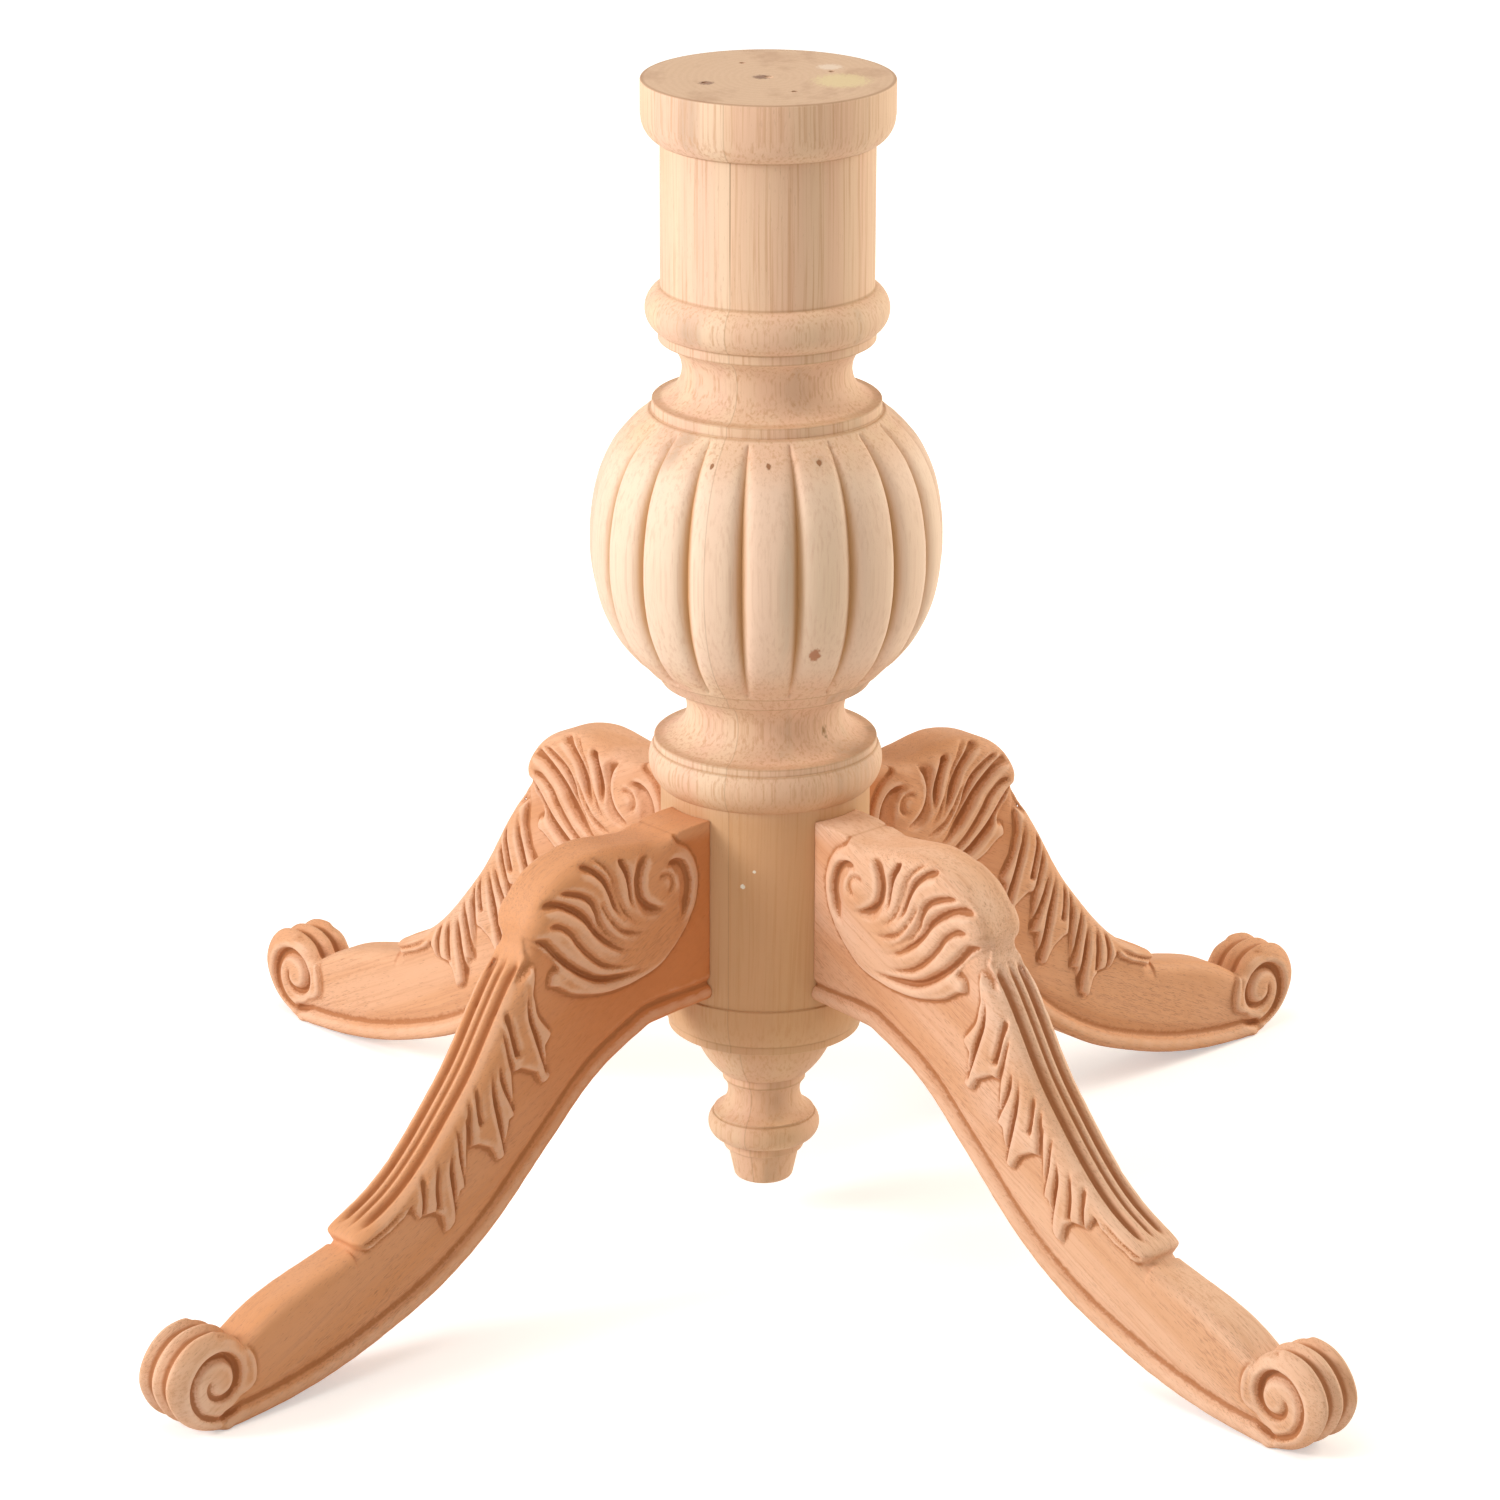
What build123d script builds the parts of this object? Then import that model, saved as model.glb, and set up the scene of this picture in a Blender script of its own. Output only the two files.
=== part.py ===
from build123d import *
from math import cos, pi, radians, sin, sqrt
import os

# Carved wooden pedestal table base: a turned column with a fluted ball and a drop finial,
# and four carved legs doweled to its lower shaft. Millimetres, +Z up, origin on the floor
# under the column's axis. The legs stand on the diagonals.

# Column, lengths from the floor upwards
floor_gap = 24.3
tip_length = 20.4
tip_band = 7.5
roll_length = 15.1
roll_lip = 1.7
drop_neck_length = 21.5
drop_neck_band = 6.2
bowl_length = 30.6
drum_band = 5.6
drum_length = 24.9
low_shaft_length = 128.0
collar_length = 24.3
collar_band = 4.7
waist_length = 35.5
ball_seat_length = 9.0
ball_length = 160.0
ball_cap_band = 6.8
cove_length = 36.5
cove_band = 6.2
bead_length = 26.0
shaft_length = 88.0
cap_length = 36.5
cap_side_length = 21.5

# Column, radii
shaft_radius = 63.5
cap_radius = 75.0
cap_foot_radius = 66.0
bead_radius = 72.6
cove_radius = 50.6
cove_edge_radius = 64.7
ball_radius = 105.9
ball_neck_radius = 70.5
ball_seat_radius = 68.5
waist_radius = 47.7
collar_radius = 70.8
drum_radius = 64.5
drum_foot_radius = 60.0
bowl_radius = 45.0
bowl_foot_radius = 28.3
drop_neck_radius = 21.7
roll_radius = 34.4
tip_radius = 22.2
tip_end_radius = 18.0
band_step = 1.0
top_edge_round = 1.5

# Gouged flutes of the ball
flute_count = 19
flute_width = 9.5
flute_cut_depth = 5.2
flute_stations = 9
flute_end_share = 0.03
flute_first_angle = -77.8

# Pilot holes and the lathe's centre mark in the top face
pilot_circle = 80.0
pilot_count = 4
pilot_diameter = 4.0
pilot_depth = 30.0
pilot_first_angle = 24.0
centre_mark_diameter = 6.0
centre_mark_depth = 5.0

# Legs
leg_count = 4
leg_reach = 478.0
block_top_margin = 7.3
block_half = 20.0
board_half = 18.0
knee_half = 20.5
leaf_half = 19.5
bead_half = 19.0
scroll_half = 18.5
rib_count = 3
rib_round = 3.0
knee_round = 12.0
leaf_round = 7.0
shin_round = 7.0
glue_gap = 0.1

# Carving depths and widths
flute_depth = 3.0
knee_flute_width = 4.4
leaf_flute_width = 3.6
crown_flute_depth = 3.6
outer_crown_flute = 4.4
inner_crown_flute = 3.2
outer_crown_flute_place = 8.0
inner_crown_flute_place = 3.2
volute_depth = 4.5
eye_radius = 12.0
eye_groove_radius = 19.0
eye_groove_depth = 4.0

# Dowels of each leg joint
dowel_names = ("lower", "middle", "upper")
dowel_diameter = 12.0
dowel_in_column = 28.0
dowel_in_leg = 32.0
dowel_edge_distance = 24.0
dowel_clearance = 0.1
dowel_end_clearance = 0.5

# The leg's side view is drawn for this reach, shaft and block top, then fitted to the sizes above
drawn_reach = 478.0
drawn_shaft = 63.5
drawn_block_top = 278.5
drawn_block_bottom = 163.5

# Heights of the column's members
z_tip = floor_gap + tip_length
z_roll = z_tip + tip_band
z_lip = z_roll + roll_length
z_drop_neck = z_lip + roll_lip
z_drop_band = z_drop_neck + drop_neck_length
z_bowl = z_drop_band + drop_neck_band
z_drum_band = z_bowl + bowl_length
z_drum = z_drum_band + drum_band
z_low_shaft = z_drum + drum_length
z_collar = z_low_shaft + low_shaft_length
z_collar_band = z_collar + collar_length
z_waist = z_collar_band + collar_band
z_ball_seat = z_waist + waist_length
z_ball = z_ball_seat + ball_seat_length
z_ball_cap = z_ball + ball_length
z_cove = z_ball_cap + ball_cap_band
z_cove_band = z_cove + cove_length
z_bead = z_cove_band + cove_band
z_shaft = z_bead + bead_length
z_cap = z_shaft + shaft_length
z_top = z_cap + cap_length

block_top = z_collar - block_top_margin
block_bottom = drawn_block_bottom * block_top / drawn_block_top


def fitted(points):
    """Points of the leg's side view, moved to the leg's real reach and height."""
    along = (leg_reach - shaft_radius) / (drawn_reach - drawn_shaft)
    upward = block_top / drawn_block_top
    return [(shaft_radius + (u - drawn_shaft) * along, z * upward) for u, z in points]


# Side view of the leg, distance from the axis and height
underside = [(100, 160.5), (118, 156.5), (155, 137.5), (195, 102), (235, 65.5), (275, 39.7),
             (315, 23), (355, 10.5), (395, 3), (432, 0)]
shin_crown = [(421, 48), (406, 57.5), (391, 64), (351, 75), (330, 80), (300, 96), (270, 126),
              (240, 166), (218, 206)]
knee_crown = [(96, 272.5), (120, 277), (145, 281), (165, 278.5), (183, 271.5), (197, 260.5),
              (206, 246.5), (207.5, 234.5)]
knee_edge = [(207.5, 234.5), (197, 233.5), (186, 224.5), (177, 215)]
lobe_tip = [(177, 215), (186, 214.5), (188.5, 206.5)]
lobe_edge = [(188.5, 206.5), (174, 197.5), (151, 191.5), (129, 191), (101, 200), (82, 217.5),
             (73, 240.5), (79, 260), (96, 272.5)]
leaf_crown = [(206, 232), (218.6, 217.5), (228, 200), (247, 169), (267, 143.5), (287, 121),
              (307, 104.5), (337, 88.5)]
leaf_edge = [(338, 80), (320, 84), (306, 93.5), (288.5, 106.5), (268.5, 128.5), (250.5, 148.5),
             (235.5, 173.5), (216.5, 203.5), (200, 222)]
bead_edge = [(437, 13.5), (397, 15), (347, 22.5), (297, 39), (257, 61.5), (217, 92), (177, 134.5),
             (147, 159.5), (112, 175), (40, 176.5)]
scroll_edge = [(412, 1), (432, 0), (463, 9), (478, 32), (469, 53), (448, 63), (430, 59)]
scroll_inside = [(430, 59), (421, 46), (416, 24), (412, 1)]
eye_centre = (442.5, 32)
block_face_end = 76
block_taper_end = 118

# Leaflets that spring from the band of the shin leaf: outlines, then the flutes in them
leaflets = [
    [(197, 224), (198, 208), (186, 177), (190, 176), (188.5, 146), (210, 160), (218, 158),
     (225, 176), (228, 186), (213, 206)],
    [(227, 184), (223, 172), (213.5, 133), (219, 131), (225, 106), (239, 119), (251, 122),
     (253, 140), (254, 146), (237, 168)],
    [(253, 146), (257, 124), (253, 97), (260, 95), (267, 72.5), (277, 87), (294, 88), (298, 96),
     (293, 104), (273, 124)],
    [(295, 102), (306, 90), (321, 79.5), (335, 81), (331, 86), (313, 91)],
]
leaflet_flutes = [
    [(200, 208), (197, 194), (188, 179)],
    [(205, 214), (206, 198), (200, 178), (191, 152)],
    [(219, 196), (220, 186), (215, 166)],
    [(229, 176), (226, 157), (216, 135)],
    [(234, 168), (233, 150), (225, 110)],
    [(247, 150), (249, 141), (248, 126)],
    [(259, 140), (260, 123), (255, 98)],
    [(267, 124), (267, 108), (264, 82)],
    [(281, 110), (284, 102), (284, 91)],
    [(305, 95), (315, 88), (328, 84)],
]
knee_flutes = [
    [(139, 274.4), (132, 261.4), (129, 247.4), (122, 237.4)],
    [(156, 278.4), (143, 262.4), (137, 245.4), (126, 230.4)],
    [(169, 275.4), (151, 261.4), (142, 243.4), (130, 228.4)],
    [(186, 265.4), (164, 253.4), (150, 231.4), (128, 218.4)],
    [(198, 256.4), (174, 249.4), (154, 228.4), (126, 213.4)],
    [(197, 245.4), (176, 236.4), (156, 213.4), (126, 204.9)],
    [(180, 217.4), (164, 205.4), (144, 198.4), (112, 200.4)],
]


def level(points):
    """A smooth line through points of the leg's side view."""
    return Spline(*fitted(points))


def straight(points):
    """A straight-sided line through points of the leg's side view."""
    return Polyline(*fitted(points))


def slab(outline, half):
    """A side outline of the leg as wood of the given half thickness on both sides of its middle."""
    return extrude(Plane.XZ.offset(-half) * outline, amount=2 * half)


def recess(outline, half, depth):
    """The wood that a cut of this outline and depth takes from both faces of a slab."""
    clear_of_wood = 2 * depth
    cut = extrude(Plane.XZ * outline, amount=depth + clear_of_wood, dir=(0, 1, 0))
    return [Pos(0, half - depth, 0) * cut, mirror(Pos(0, half - depth, 0) * cut, Plane.XZ)]


def gouge_mark(points, width):
    """The outline of a gouge cut along a line: pointed at both ends and widest in the middle."""
    path = fitted(points)
    last = len(path) - 1
    left = []
    right = []
    for i in range(1, last):
        du = path[i + 1][0] - path[i - 1][0]
        dz = path[i + 1][1] - path[i - 1][1]
        run = sqrt(du * du + dz * dz)
        half = width / 2 * sin(pi * i / last)
        left.append((path[i][0] - dz / run * half, path[i][1] + du / run * half))
        right.append((path[i][0] + dz / run * half, path[i][1] - du / run * half))
    return make_face(Polyline(path[0], *left, path[last], *reversed(right), path[0]))


def ball_outline():
    """Side outline of the ball, from its lower neck up to its upper neck."""
    ball_middle = z_ball + ball_length / 2
    shoulder_height = 0.375 * ball_length
    shoulder_radius = ball_neck_radius + 0.6 * (ball_radius - ball_neck_radius)
    return Spline(
        (ball_neck_radius, z_ball),
        (shoulder_radius, ball_middle - shoulder_height),
        (ball_radius, ball_middle),
        (shoulder_radius, ball_middle + shoulder_height),
        (ball_neck_radius, z_ball_cap),
    )


def column_profile():
    """Half section of the column, from the finial's end up to the top face."""
    lines = [
        Polyline((0, floor_gap), (tip_end_radius - 2, floor_gap)),
        ThreePointArc((tip_end_radius - 2, floor_gap), (tip_end_radius, floor_gap + 1),
                      (tip_end_radius + 1, floor_gap + 3)),
        Polyline((tip_end_radius + 1, floor_gap + 3), (tip_radius, z_tip),
                 (tip_radius + 2.3, z_tip), (tip_radius + 2.3, z_roll), (roll_radius - 4.4, z_roll)),
        ThreePointArc((roll_radius - 4.4, z_roll), (roll_radius, z_roll + roll_length / 2),
                      (roll_radius - 2.4, z_lip)),
        Polyline((roll_radius - 2.4, z_lip), (roll_radius - 3.4, z_lip),
                 (roll_radius - 3.4, z_drop_neck)),
        ThreePointArc((roll_radius - 3.4, z_drop_neck),
                      (drop_neck_radius + 1.0, z_drop_neck + 0.45 * drop_neck_length),
                      (drop_neck_radius + 2.8, z_drop_band)),
        Polyline((drop_neck_radius + 2.8, z_drop_band), (drop_neck_radius + 3.8, z_drop_band),
                 (drop_neck_radius + 3.8, z_bowl), (bowl_foot_radius, z_bowl)),
        ThreePointArc((bowl_foot_radius, z_bowl), (bowl_radius - 5.5, z_bowl + 0.5 * bowl_length),
                      (bowl_radius, z_drum_band)),
        Polyline((bowl_radius, z_drum_band), (drum_foot_radius - band_step, z_drum_band),
                 (drum_foot_radius - band_step, z_drum), (drum_foot_radius, z_drum)),
        ThreePointArc((drum_foot_radius, z_drum), (drum_radius - 0.6, z_drum + drum_length / 2),
                      (drum_radius, z_low_shaft)),
        Polyline((drum_radius, z_low_shaft), (shaft_radius, z_low_shaft),
                 (shaft_radius, z_collar), (shaft_radius + band_step, z_collar)),
        ThreePointArc((shaft_radius + band_step, z_collar),
                      (collar_radius, z_collar + 0.6 * collar_length),
                      (collar_radius - 2.5, z_collar_band)),
        Polyline((collar_radius - 2.5, z_collar_band), (collar_radius - 3.3, z_collar_band),
                 (collar_radius - 3.3, z_waist), (collar_radius - 5.3, z_waist)),
        ThreePointArc((collar_radius - 5.3, z_waist), (waist_radius, z_waist + 0.55 * waist_length),
                      (ball_seat_radius - 7.5, z_ball_seat)),
        Polyline((ball_seat_radius - 7.5, z_ball_seat), (ball_seat_radius - 5.5, z_ball_seat),
                 (ball_seat_radius, z_ball), (ball_neck_radius, z_ball)),
        ball_outline(),
        Polyline((ball_neck_radius, z_ball_cap), (ball_seat_radius, z_ball_cap),
                 (ball_seat_radius, z_cove), (cove_edge_radius, z_cove)),
        ThreePointArc((cove_edge_radius, z_cove), (cove_radius, z_cove + cove_length / 2),
                      (cove_edge_radius - 2.2, z_cove_band)),
        Polyline((cove_edge_radius - 2.2, z_cove_band), (cove_edge_radius, z_cove_band),
                 (cove_edge_radius, z_bead), (cove_edge_radius + 0.8, z_bead)),
        ThreePointArc((cove_edge_radius + 0.8, z_bead), (bead_radius, z_bead + 0.45 * bead_length),
                      (shaft_radius, z_shaft)),
        Polyline((shaft_radius, z_shaft), (shaft_radius, z_cap), (cap_foot_radius, z_cap)),
        ThreePointArc((cap_foot_radius, z_cap), (cap_radius - 2.4, z_top - cap_side_length - 4.5),
                      (cap_radius, z_top - cap_side_length)),
        Polyline((cap_radius, z_top - cap_side_length), (cap_radius, z_top - top_edge_round),
                 (cap_radius - top_edge_round, z_top), (0, z_top), (0, floor_gap)),
    ]
    return make_face(lines)


def facets(*corners):
    """A flat triangle, or a strip between two lines as two triangles."""
    triangles = [corners[:3]] if len(corners) == 3 else [corners[:3], (corners[0], corners[2], corners[3])]
    return [Face(Wire(Polyline(*t, t[0]).edges())) for t in triangles]


def ball_flute():
    """The wood that a V gouge takes along the ball, deepest in the middle, with pointed ends."""
    outline = ball_outline()
    clear_of_wood = 2.5
    end_rise = 0.4
    last = flute_stations - 1
    bottoms = []
    lefts = []
    rights = []
    for i in range(flute_stations):
        place = flute_end_share + (1 - 2 * flute_end_share) * i / last
        surface = outline.position_at(place)
        along = outline.tangent_at(place)
        share = sqrt(max(sin(pi * i / last), 0))
        deep = (flute_cut_depth + end_rise) * share - end_rise
        half_width = flute_width / 2 * (deep + clear_of_wood) / flute_cut_depth
        bottoms.append(Vector(surface.X - deep * along.Y, 0, surface.Y + deep * along.X))
        lip = Vector(surface.X + clear_of_wood * along.Y, 0, surface.Y - clear_of_wood * along.X)
        lefts.append(lip - Vector(0, half_width, 0))
        rights.append(lip + Vector(0, half_width, 0))
    faces = facets(bottoms[0], lefts[0], rights[0]) + facets(bottoms[last], lefts[last], rights[last])
    for i in range(last):
        faces += facets(bottoms[i], bottoms[i + 1], lefts[i + 1], lefts[i])
        faces += facets(bottoms[i], bottoms[i + 1], rights[i + 1], rights[i])
        faces += facets(lefts[i], lefts[i + 1], rights[i + 1], rights[i])
    return Solid(Shell(faces))


def dowel_heights():
    """Heights of a joint's dowels, evenly spread between the block's lower and upper edge."""
    lowest = block_bottom + dowel_edge_distance
    highest = block_top - dowel_edge_distance
    gaps = len(dowel_names) - 1
    return [lowest + (highest - lowest) * i / gaps for i in range(gaps + 1)]


def bore(z, inward, outward):
    """A blind hole for a dowel, along the leg's length, across the face of the shaft."""
    radius = dowel_diameter / 2 + dowel_clearance
    length = inward + outward
    return Pos(shaft_radius + (outward - inward) / 2, 0, z) * Rot(0, 90, 0) * Cylinder(radius, length)


def leg_angles():
    """Directions of the legs about the column's axis."""
    return [360 / leg_count * (i + 0.5) for i in range(leg_count)]


def build_column():
    """The turned column with its flutes, dowel holes, pilot holes and centre mark."""
    turned = revolve(Plane.XZ * column_profile(), axis=Axis.Z)
    cuts = []
    flute = ball_flute()
    for i in range(flute_count):
        cuts.append(Rot(0, 0, flute_first_angle + 360 / flute_count * i) * flute)
    for angle in leg_angles():
        for z in dowel_heights():
            cuts.append(Rot(0, 0, angle) * bore(z, dowel_in_column + dowel_end_clearance, 5))
    for i in range(pilot_count):
        angle = radians(pilot_first_angle + 360 / pilot_count * i)
        place = Pos(pilot_circle / 2 * cos(angle), pilot_circle / 2 * sin(angle), z_top - pilot_depth / 2)
        cuts.append(place * Cylinder(pilot_diameter / 2, pilot_depth))
    mark = Cone(0.3, centre_mark_diameter / 2, centre_mark_depth)
    cuts.append(Pos(0, 0, z_top - centre_mark_depth / 2) * mark)
    return turned - cuts


def rounded(body, face, radius):
    """The body with the long edges of one of its faces rounded over."""
    width = max(abs(e.center().Y) for e in face.edges())
    return fillet([e for e in face.edges() if abs(e.center().Y) > width / 2], radius)


def leg_board():
    """The sawn board of the leg: underside, shin and the inside of the knee."""
    inner = shaft_radius / 2
    bottom = fitted([underside[0]])[0]
    heel = fitted([underside[-1]])[0]
    toe = fitted([shin_crown[0]])[0]
    shin_top = fitted([shin_crown[-1]])[0]
    lines = [
        Polyline((inner, block_bottom), bottom),
        level(underside),
        Line(heel, toe),
        level(shin_crown),
        Polyline(shin_top, *fitted([(196, 240), (170, 262), (98, 270)]), (inner, block_top - 4),
                 (inner, block_bottom)),
    ]
    board = slab(make_face(lines), board_half)
    crown = max(board.faces(), key=lambda f: f.center().X + f.center().Z)
    return rounded(board, crown, shin_round)


def block():
    """The square block that seats on the shaft, its faces easing down to the carved ground."""
    inner = shaft_radius / 2
    face_end, taper_end = (u for u, z in fitted([(block_face_end, 0), (block_taper_end, 0)]))
    plan = [(inner, block_half), (face_end, block_half), (taper_end, board_half),
            (taper_end, -board_half), (face_end, -block_half), (inner, -block_half)]
    upright = extrude(make_face(Polyline(*plan, plan[0])), amount=z_top)
    side = [(inner, block_bottom + 1), *fitted([(95, 162.5), (125, 159), (125, 255), (88, 269)]),
            (inner, block_top)]
    return slab(make_face(Polyline(*side, side[0])), block_half) & upright


def knee():
    """The swelling knee with its volute and its fluted leaf."""
    outline = make_face([level(knee_crown), level(knee_edge), straight(lobe_tip), level(lobe_edge)])
    body = slab(outline, knee_half)
    crown = max(body.faces(), key=lambda f: f.center().Z)
    body = rounded(body, crown, knee_round)
    cuts = []
    for line in knee_flutes:
        cuts += recess(gouge_mark(line, knee_flute_width), knee_half, flute_depth)
    hollow = fitted([(99, 258.5), (74.5, 242.5), (82, 220.5), (94, 226.5), (88.5, 244.5)])
    left = make_face([ThreePointArc(hollow[0], hollow[1], hollow[2]),
                      Spline(hollow[2], hollow[3], hollow[4], hollow[0])])
    hollow = fitted([(110, 267.5), (123, 249.5), (103, 233.5), (113, 246.5)])
    right = make_face([ThreePointArc(hollow[0], hollow[1], hollow[2]),
                       ThreePointArc(hollow[2], hollow[3], hollow[0])])
    cuts += recess(left, knee_half, volute_depth)
    cuts += recess(right, knee_half, volute_depth)
    return body - cuts


def crown_flute(width, place):
    """The wood that a long flute takes along the top of the shin leaf, at one distance from the middle."""
    top = fitted(leaf_crown)
    floor_line = [(u - 0.75 * crown_flute_depth, z - 0.65 * crown_flute_depth) for u, z in top[2:-1]]
    above = [(u + 2 * crown_flute_depth, z + 2 * crown_flute_depth) for u, z in (top[0], top[3], top[-1])]
    outline = make_face([
        Spline(top[1], *floor_line, top[-1]),
        Polyline(top[-1], above[2], above[1], above[0], top[1]),
    ])
    cut = slab(outline, width / 2)
    return [Pos(0, place, 0) * cut, Pos(0, -place, 0) * cut]


def shin_leaf():
    """The leaf on the shin: a fluted band along the top and leaflets down both sides."""
    first = fitted([leaf_crown[0]])[0]
    tip = fitted([leaf_crown[-1], leaf_edge[0]])
    last = fitted([leaf_edge[-1]])[0]
    band = slab(make_face([level(leaf_crown), Line(*tip), level(leaf_edge), Line(last, first)]), leaf_half)
    crown = max(band.faces(), key=lambda f: f.center().X + f.center().Z)
    band = rounded(band, crown, leaf_round)
    for outline in leaflets:
        band += slab(make_face(straight(outline + outline[:1])), leaf_half)
    cuts = crown_flute(outer_crown_flute, outer_crown_flute_place)
    cuts += crown_flute(inner_crown_flute, inner_crown_flute_place)
    for line in leaflet_flutes:
        cuts += recess(gouge_mark(line, leaf_flute_width), leaf_half, flute_depth)
    return band - cuts


def edge_bead():
    """The moulding along the lower edge of both faces of the leg."""
    inner = shaft_radius / 2
    bottom = fitted([underside[0]])[0]
    heel = fitted([underside[-1]])[0]
    edge = fitted(bead_edge)
    lines = [
        Polyline((inner, block_bottom), bottom),
        level(underside),
        Line(heel, edge[0]),
        Spline(*edge[:-1]),
        Polyline(edge[-2], (inner, edge[-1][1]), (inner, block_bottom)),
    ]
    return slab(make_face(lines), bead_half)


def scroll_foot():
    """The scroll that the leg rests on: ribs round the tread and a ringed eye on each face."""
    edge = fitted(scroll_edge)
    outline = make_face([Spline(*edge), straight(scroll_inside)])
    width = 2 * scroll_half / rib_count
    rib = slab(outline, width / 2)
    tread = max(rib.faces(), key=lambda f: f.center().X)
    rib = rounded(rib, tread, rib_round)
    foot = None
    for i in range(rib_count):
        placed = Pos(0, width * (i - (rib_count - 1) / 2), 0) * rib
        foot = placed if foot is None else foot + placed
    ring = Pos(*fitted([eye_centre])[0]) * (Circle(eye_groove_radius) - Circle(eye_radius))
    return foot - recess(ring, scroll_half, eye_groove_depth)


def build_leg():
    """One whole leg, pointing along +X, carved from one piece and coped to the column's shaft."""
    blank = leg_board() + knee() + shin_leaf() + edge_bead() + scroll_foot() + block()
    shaft = Cylinder(shaft_radius + glue_gap, 2 * z_top)
    floor = Pos(leg_reach, 0, -scroll_half) * Box(leg_reach, 4 * scroll_half, 2 * scroll_half)
    cuts = [shaft, floor]
    for z in dowel_heights():
        cuts.append(bore(z, 5, dowel_in_leg + dowel_end_clearance))
    return blank - cuts


def build_dowel(z):
    """A plain dowel across one joint, pointing along +X."""
    middle = shaft_radius + (dowel_in_leg - dowel_in_column) / 2
    length = dowel_in_leg + dowel_in_column
    return Pos(middle, 0, z) * Rot(0, 90, 0) * Cylinder(dowel_diameter / 2, length)


def write(shape, name):
    """Write one piece under its name."""
    shape.label = name
    export_step(shape, os.path.join("parts", name + ".step"))


os.makedirs("parts", exist_ok=True)
write(build_column(), "turned_column")
leg = build_leg()
places = ("back_right", "back_left", "front_left", "front_right")
for place, angle in zip(places, leg_angles()):
    write(Rot(0, 0, angle) * leg, "leg_" + place)
    for name, z in zip(dowel_names, dowel_heights()):
        write(Rot(0, 0, angle) * build_dowel(z), "dowel_" + place + "_" + name)
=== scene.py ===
from math import atan2, cos, pi, radians, sin

import bpy
import numpy as np
from bpy.props import FloatProperty, FloatVectorProperty, IntProperty, PointerProperty
from mathutils import Matrix, Vector


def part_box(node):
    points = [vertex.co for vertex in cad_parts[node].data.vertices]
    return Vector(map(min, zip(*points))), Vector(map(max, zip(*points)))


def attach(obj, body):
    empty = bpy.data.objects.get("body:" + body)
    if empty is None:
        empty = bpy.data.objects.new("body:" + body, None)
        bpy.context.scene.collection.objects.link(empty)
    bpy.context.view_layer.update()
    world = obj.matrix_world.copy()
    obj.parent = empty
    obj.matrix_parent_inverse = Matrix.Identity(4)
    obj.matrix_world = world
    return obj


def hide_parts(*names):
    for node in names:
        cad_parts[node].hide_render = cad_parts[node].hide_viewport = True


bl_info = {
    "name": "Carved pedestal table base",
    "version": (1, 0, 0),
    "blender": (4, 5, 0),
    "location": "View3D > Sidebar > Pedestal",
    "description": "A turned column with a fluted ball on four carved scroll-foot legs",
    "category": "Object",
}

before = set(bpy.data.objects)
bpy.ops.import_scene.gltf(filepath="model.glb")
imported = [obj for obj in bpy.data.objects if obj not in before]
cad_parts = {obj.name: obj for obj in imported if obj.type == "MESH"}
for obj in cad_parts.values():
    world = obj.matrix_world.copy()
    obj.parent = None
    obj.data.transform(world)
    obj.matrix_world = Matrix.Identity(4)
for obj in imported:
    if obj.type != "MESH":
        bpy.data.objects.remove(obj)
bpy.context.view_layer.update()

MM = 0.001
LEG_NODES = ("leg_back_right", "leg_back_left", "leg_front_left", "leg_front_right")
LEG_ANGLES = (45, 135, 225, 315)
# How deep in tone the wood of each leg is, and the wood of its foot: partly the wood's own tone and partly
# painted shade on the legs whose seen sides are turned from the key lamp, with the front-left foot kept
# pale as painted light
LEG_TONES_AND_SHADE = (0.75, 0.42, 0.9, 0.12)
FOOT_TONES_AND_SHADE = (0.8, 0.7, 0.1, 0.12)

# The turned column, millimetres
column_low, column_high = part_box("turned_column")
COLUMN_TOP = column_high.z / MM
COLUMN_FOOT = column_low.z / MM
BALL_RADIUS = 105.9
FLUTES_FROM, FLUTES_TO = 362.5, 517.0
TOP_RADIUS = 75
CENTRE_MARK_RADIUS, CENTRE_MARK_DEPTH = 3, 5
PILOTS = 4
PILOT_RADIUS, PILOT_DEPTH = 2, 30
PILOT_CIRCLE = 40
FIRST_PILOT = 24  # degrees round the axis
# Heights of the creases between the turned members
CREASES = (67.9, 90.9, 132.9, 158.0, 310.1, 314.6, 350.5, 359.2, 519.5, 526.1, 562.7, 568.8, 595.0, 682.8)

# Tones of the column's wood, and the painted shade on it
DARK_BOARD = (0.74, 0.46, 0.29, 1)
YELLOW_PATCH = (0.80, 0.60, 0.33, 1)
GREY_STREAK = (0.48, 0.34, 0.23, 1)
COLUMN_FIBRE = (0.60, 0.33, 0.18, 1)
COLUMN_FLECK = (0.34, 0.18, 0.10, 1)
LOW_SHAFT_TONE_AND_SHADE = (0.56, 0.29, 0.115, 1)
PALE_BALL = (0.90, 0.715, 0.58, 1)
FLUTE_SHADE = (0.50, 0.25, 0.08, 1)
CREASE_SHADE = (0.42, 0.23, 0.10, 1)
GLUE_LINE = (0.30, 0.16, 0.08, 1)
PIN_KNOT = (0.33, 0.15, 0.07, 1)
PALE_SPECK = (0.85, 0.78, 0.66, 1)
END_GRAIN = (0.66, 0.45, 0.30, 1)
END_RING = (0.47, 0.28, 0.17, 1)
END_STAIN = (0.40, 0.22, 0.13, 1)
END_RIM = (0.36, 0.19, 0.10, 1)
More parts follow.
